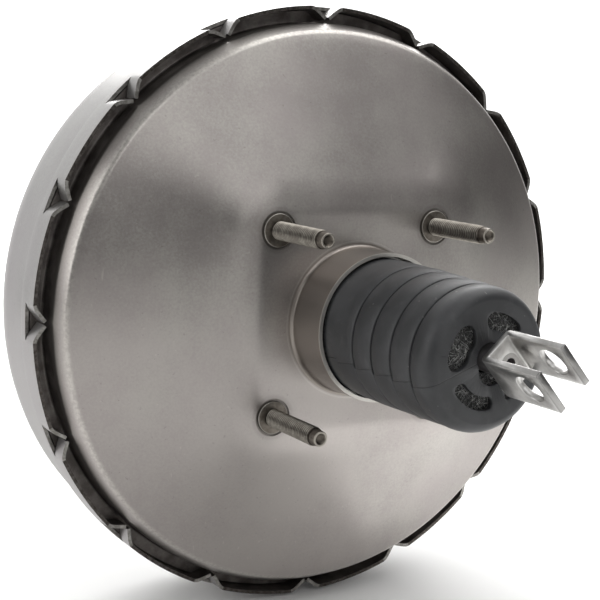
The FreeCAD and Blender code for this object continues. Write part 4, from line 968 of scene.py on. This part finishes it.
def kidney(inner, outer, start, stop):
    """A bar with round ends, bent round the Y axis between two radii and two angles."""
    middle, half_width = (inner + outer) / 2, (outer - inner) / 2
    half_length = math.radians(stop - start) / 2 * middle
    bar = bmesh.new()
    bmesh.ops.create_cube(bar, size=2)
    bmesh.ops.scale(bar, vec=Vector((half_width, 3.5, half_length)) * MM, verts=bar.verts)
    along = [edge for edge in bar.edges if abs((edge.verts[0].co - edge.verts[1].co).y) > 1 * MM]
    bmesh.ops.bevel(bar, geom=along, offset=half_width * MM * 0.99, offset_type="OFFSET", segments=10,
                    profile=0.5, affect="EDGES", material=-1)
    for number in range(-4, 5):
        bmesh.ops.bisect_plane(bar, geom=bar.verts[:] + bar.edges[:] + bar.faces[:],
                               plane_co=(0, 0, number * half_length / 5 * MM), plane_no=(0, 0, 1))
    for vert in bar.verts:
        turn_by = math.radians(start + stop) / 2 + vert.co.z / (middle * MM)
        radius = middle * MM + vert.co.x
        vert.co = (radius * math.cos(turn_by), vert.co.y + (BOOT_FACE + 1) * MM, radius * math.sin(turn_by))
    bmesh.ops.recalc_face_normals(bar, faces=bar.faces)
    return bar


# Inner and outer radius, and first and last angle.
SLOTS = [(12.3, 19.4, 36, 98), (9.8, 20, 121, 190), (13.3, 18.8, 208, 280), (14.8, 18.8, 301, 350)]
GAPE = (7, 2, -2.3)

boot = add_piece("boot_folded", boot_shape, boot_rubber)
for slot in SLOTS:
    cut(boot, kidney(*slot))
for radius, x, z in ((BOOT_HOLE, 0, ROD_LIFT), GAPE):
    cut(boot, move(drill(BOOT_FACE - 3, BOOT_FACE + 5, radius), x=x, z=z))
soften(boot, 0.3, angle=60)
bake(boot)
boot.data.transform(about_ball(DROOP))
seat(boot, "input_rod", "boot_rubber", "boot")
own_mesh(boot)

# %% [markdown]
# ## The silencer
#
# Behind the slots lies a disc of coarse felt that quiets the air. A plain disc would look like card, so its
# face is roughened with noise and several hundred thin bent fibres lie on it, each with only a few faces. The
# points near the bore are moved up with it, because the push rod runs a little above the middle.

# %% The silencer
FIBRES = 680
FOAM_BACK, FOAM_FACE, FOAM_BORE, FOAM_EDGE = -82.5, -90.3, 6.4, 25.4

random.seed(7)
foam = bmesh.new()
wire(foam, [
    (FOAM_BACK, FOAM_BORE), (FOAM_BACK, FOAM_EDGE), (-88, FOAM_EDGE), (FOAM_FACE, 23.5, 1.5),
    *[(FOAM_FACE, 22.5 - 0.7 * step) for step in range(21)],
    (FOAM_FACE, FOAM_BORE + 1), (FOAM_FACE, FOAM_BORE), (-88, FOAM_BORE),
], closed=True)
spin(foam, 180)
for vert in foam.verts:
    inwards = (12 * MM - math.hypot(vert.co.x, vert.co.z)) / 5.5
    vert.co.z += 1.75 * min(max(inwards, 0), MM)
    if vert.co.y < -89 * MM:
        lift = noise.noise(vert.co * 700) * 0.5 + noise.noise(vert.co * 1900) * 0.35
        vert.co.y += (0.35 + lift * 0.8) * MM
felt_mesh = bpy.data.meshes.new("felt")
for number in range(FIBRES):
    length, thick, sag = random.uniform(2.2, 5.5), random.uniform(0.04, 0.085), random.uniform(-0.12, 0.12)
    reach, angle = random.uniform(6.5, 20.5), random.uniform(0, 2 * math.pi)
    if math.hypot(reach * math.cos(angle), reach * math.sin(angle) + ROD_LIFT) < 8.8:
        continue
    strand = bmesh.new()
    bmesh.ops.create_cone(strand, segments=4, radius1=thick * MM, radius2=thick * 0.6 * MM, depth=length * MM)
    for third in (-length / 6, length / 6):
        bmesh.ops.bisect_plane(strand, geom=strand.verts[:] + strand.edges[:] + strand.faces[:],
                               plane_co=(0, 0, third * MM), plane_no=(0, 0, 1))
    for vert in strand.verts:
        vert.co.x += sag * (vert.co.z / MM) ** 2 * MM
    for face in strand.faces:
        face.material_index = 1
    rotate(strand, random.uniform(0, 360), "Y")
    rotate(strand, random.uniform(-14, 14), "X")
    move(strand, x=reach, y=FOAM_FACE + 0.05 + random.uniform(-0.15, 0.3))
    rotate(strand, math.degrees(angle), "Y")
    strand.to_mesh(felt_mesh)
    strand.free()
    foam.from_mesh(felt_mesh)
bpy.data.meshes.remove(felt_mesh)
silencer = add_piece("silencer_felted", foam, felt_grey, fibre_pale)
silencer.data.transform(about_ball(DROOP))
seat(silencer, "input_rod", "felt", "boot_silencer")

# %% [markdown]
# ## The clevis
#
# The clevis is a zinc-plated steel strap bent into a U. Its outline is a closed wire with rounded bends, which
# is filled, extruded to the strap's width and drilled. A small bevel gives the bright lines along its edges.

# %% The clevis
STRAP_WIDTH, PLATE, OUTSIDE = 19.1, 2.65, 8.25
CLEVIS_TURN = 41.2
PIN_PLACE, PIN_HOLE, STEM_HOLE = -124, 6.1, 3.9
inside, base = OUTSIDE - PLATE, CLEVIS_BASE - PLATE

strap = bmesh.new()
corners = [(CLEVIS_END, OUTSIDE), (CLEVIS_BASE, OUTSIDE, 2.0), (CLEVIS_BASE, -OUTSIDE, 2.0), (CLEVIS_END, -OUTSIDE),
           (CLEVIS_END, -inside), (base, -inside, 0.7), (base, inside, 0.7), (CLEVIS_END, inside)]
wire(strap, corners, closed=True, arc_step=12)
outline = bmesh.ops.contextual_create(strap, geom=strap.edges[:])["faces"]
side = bmesh.ops.extrude_face_region(strap, geom=outline)["geom"]
far_verts = [item for item in side if isinstance(item, bmesh.types.BMVert)]
bmesh.ops.translate(strap, verts=far_verts, vec=(STRAP_WIDTH * MM, 0, 0))
move(strap, x=-STRAP_WIDTH / 2)
bmesh.ops.recalc_face_normals(strap, faces=strap.faces)
clevis = add_piece("clevis_strap", strap, zinc)
cut(clevis, move(rotate(drill(-12, 12, PIN_HOLE, 72), 90, "X"), y=PIN_PLACE))
cut(clevis, drill(-107, -101, STEM_HOLE))
soften(clevis, 0.32, segments=3)
bake(clevis)
clevis.data.transform(about_ball(ROD_TILT) @ Matrix.Rotation(math.radians(90 - CLEVIS_TURN), 4, "Y"))
seat(clevis, "clevis", "zinc", "clevis_base", "clevis_left_ear", "clevis_right_ear")
print("clevis box", [round(value * 1000, 1) for value in clevis.dimensions])

# %% [markdown]
# ## The return spring
#
# The large spring pushes the power piston back. A ring of edges spun with a lead makes its wire. It rides on
# the housing.

# %% The return spring
WIRE, COIL_RADIUS, COILS = 1.75, 28.5, 5.5
REAR_SEAT, FRONT_SEAT, SEAT_GAP = 15.5, 104, 0.1

coil = bmesh.new()
bmesh.ops.create_circle(coil, segments=12, radius=WIRE * MM)
rotate(coil, 90, "Y")
move(coil, y=REAR_SEAT + WIRE + SEAT_GAP, z=COIL_RADIUS)
spin(coil, int(40 * COILS), angle=360 * COILS, lead=FRONT_SEAT - REAR_SEAT - 2 * (WIRE + SEAT_GAP))
spring = add_piece("return_spring_round", coil, spring_steel)
seat(spring, "housing", "spring_steel", "piston_return_spring")
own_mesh(spring)

# %% [markdown]
# ## The pieces that keep their CAD shape
#
# The other pieces are turned or moulded and their CAD solids are right as they are. Each gets its finish.

# %% Finishes of the other pieces
for finish, names in {
    plain_steel: ["rear_reinforcement_plate", "front_reinforcement_plate", "diaphragm_plate", "stop_key",
                  "seal_retainer", "poppet_retainer", "output_rod_retainer"],
    rod_steel: ["output_rod", "output_rod_tip"],
    rod_end: ["input_rod"],
    spring_steel: ["poppet_spring", "rod_return_spring", "check_valve_spring"],
    alloy: ["plunger"],
    black_rubber: ["neck_seal", "diaphragm", "poppet_valve", "reaction_disc", "check_valve_grommet",
                   "check_valve_disc"],
    hub_plastic: ["valve_body"],
    valve_plastic: ["check_valve_body", "check_valve_cap"],
    bearing_plastic: ["neck_bearing"],
    felt_pale: ["air_filter"],
}.items():
    for name in names:
        for slot in nodes[name].material_slots:
            slot.material = finish
    print(finish.name, "on", len(names))
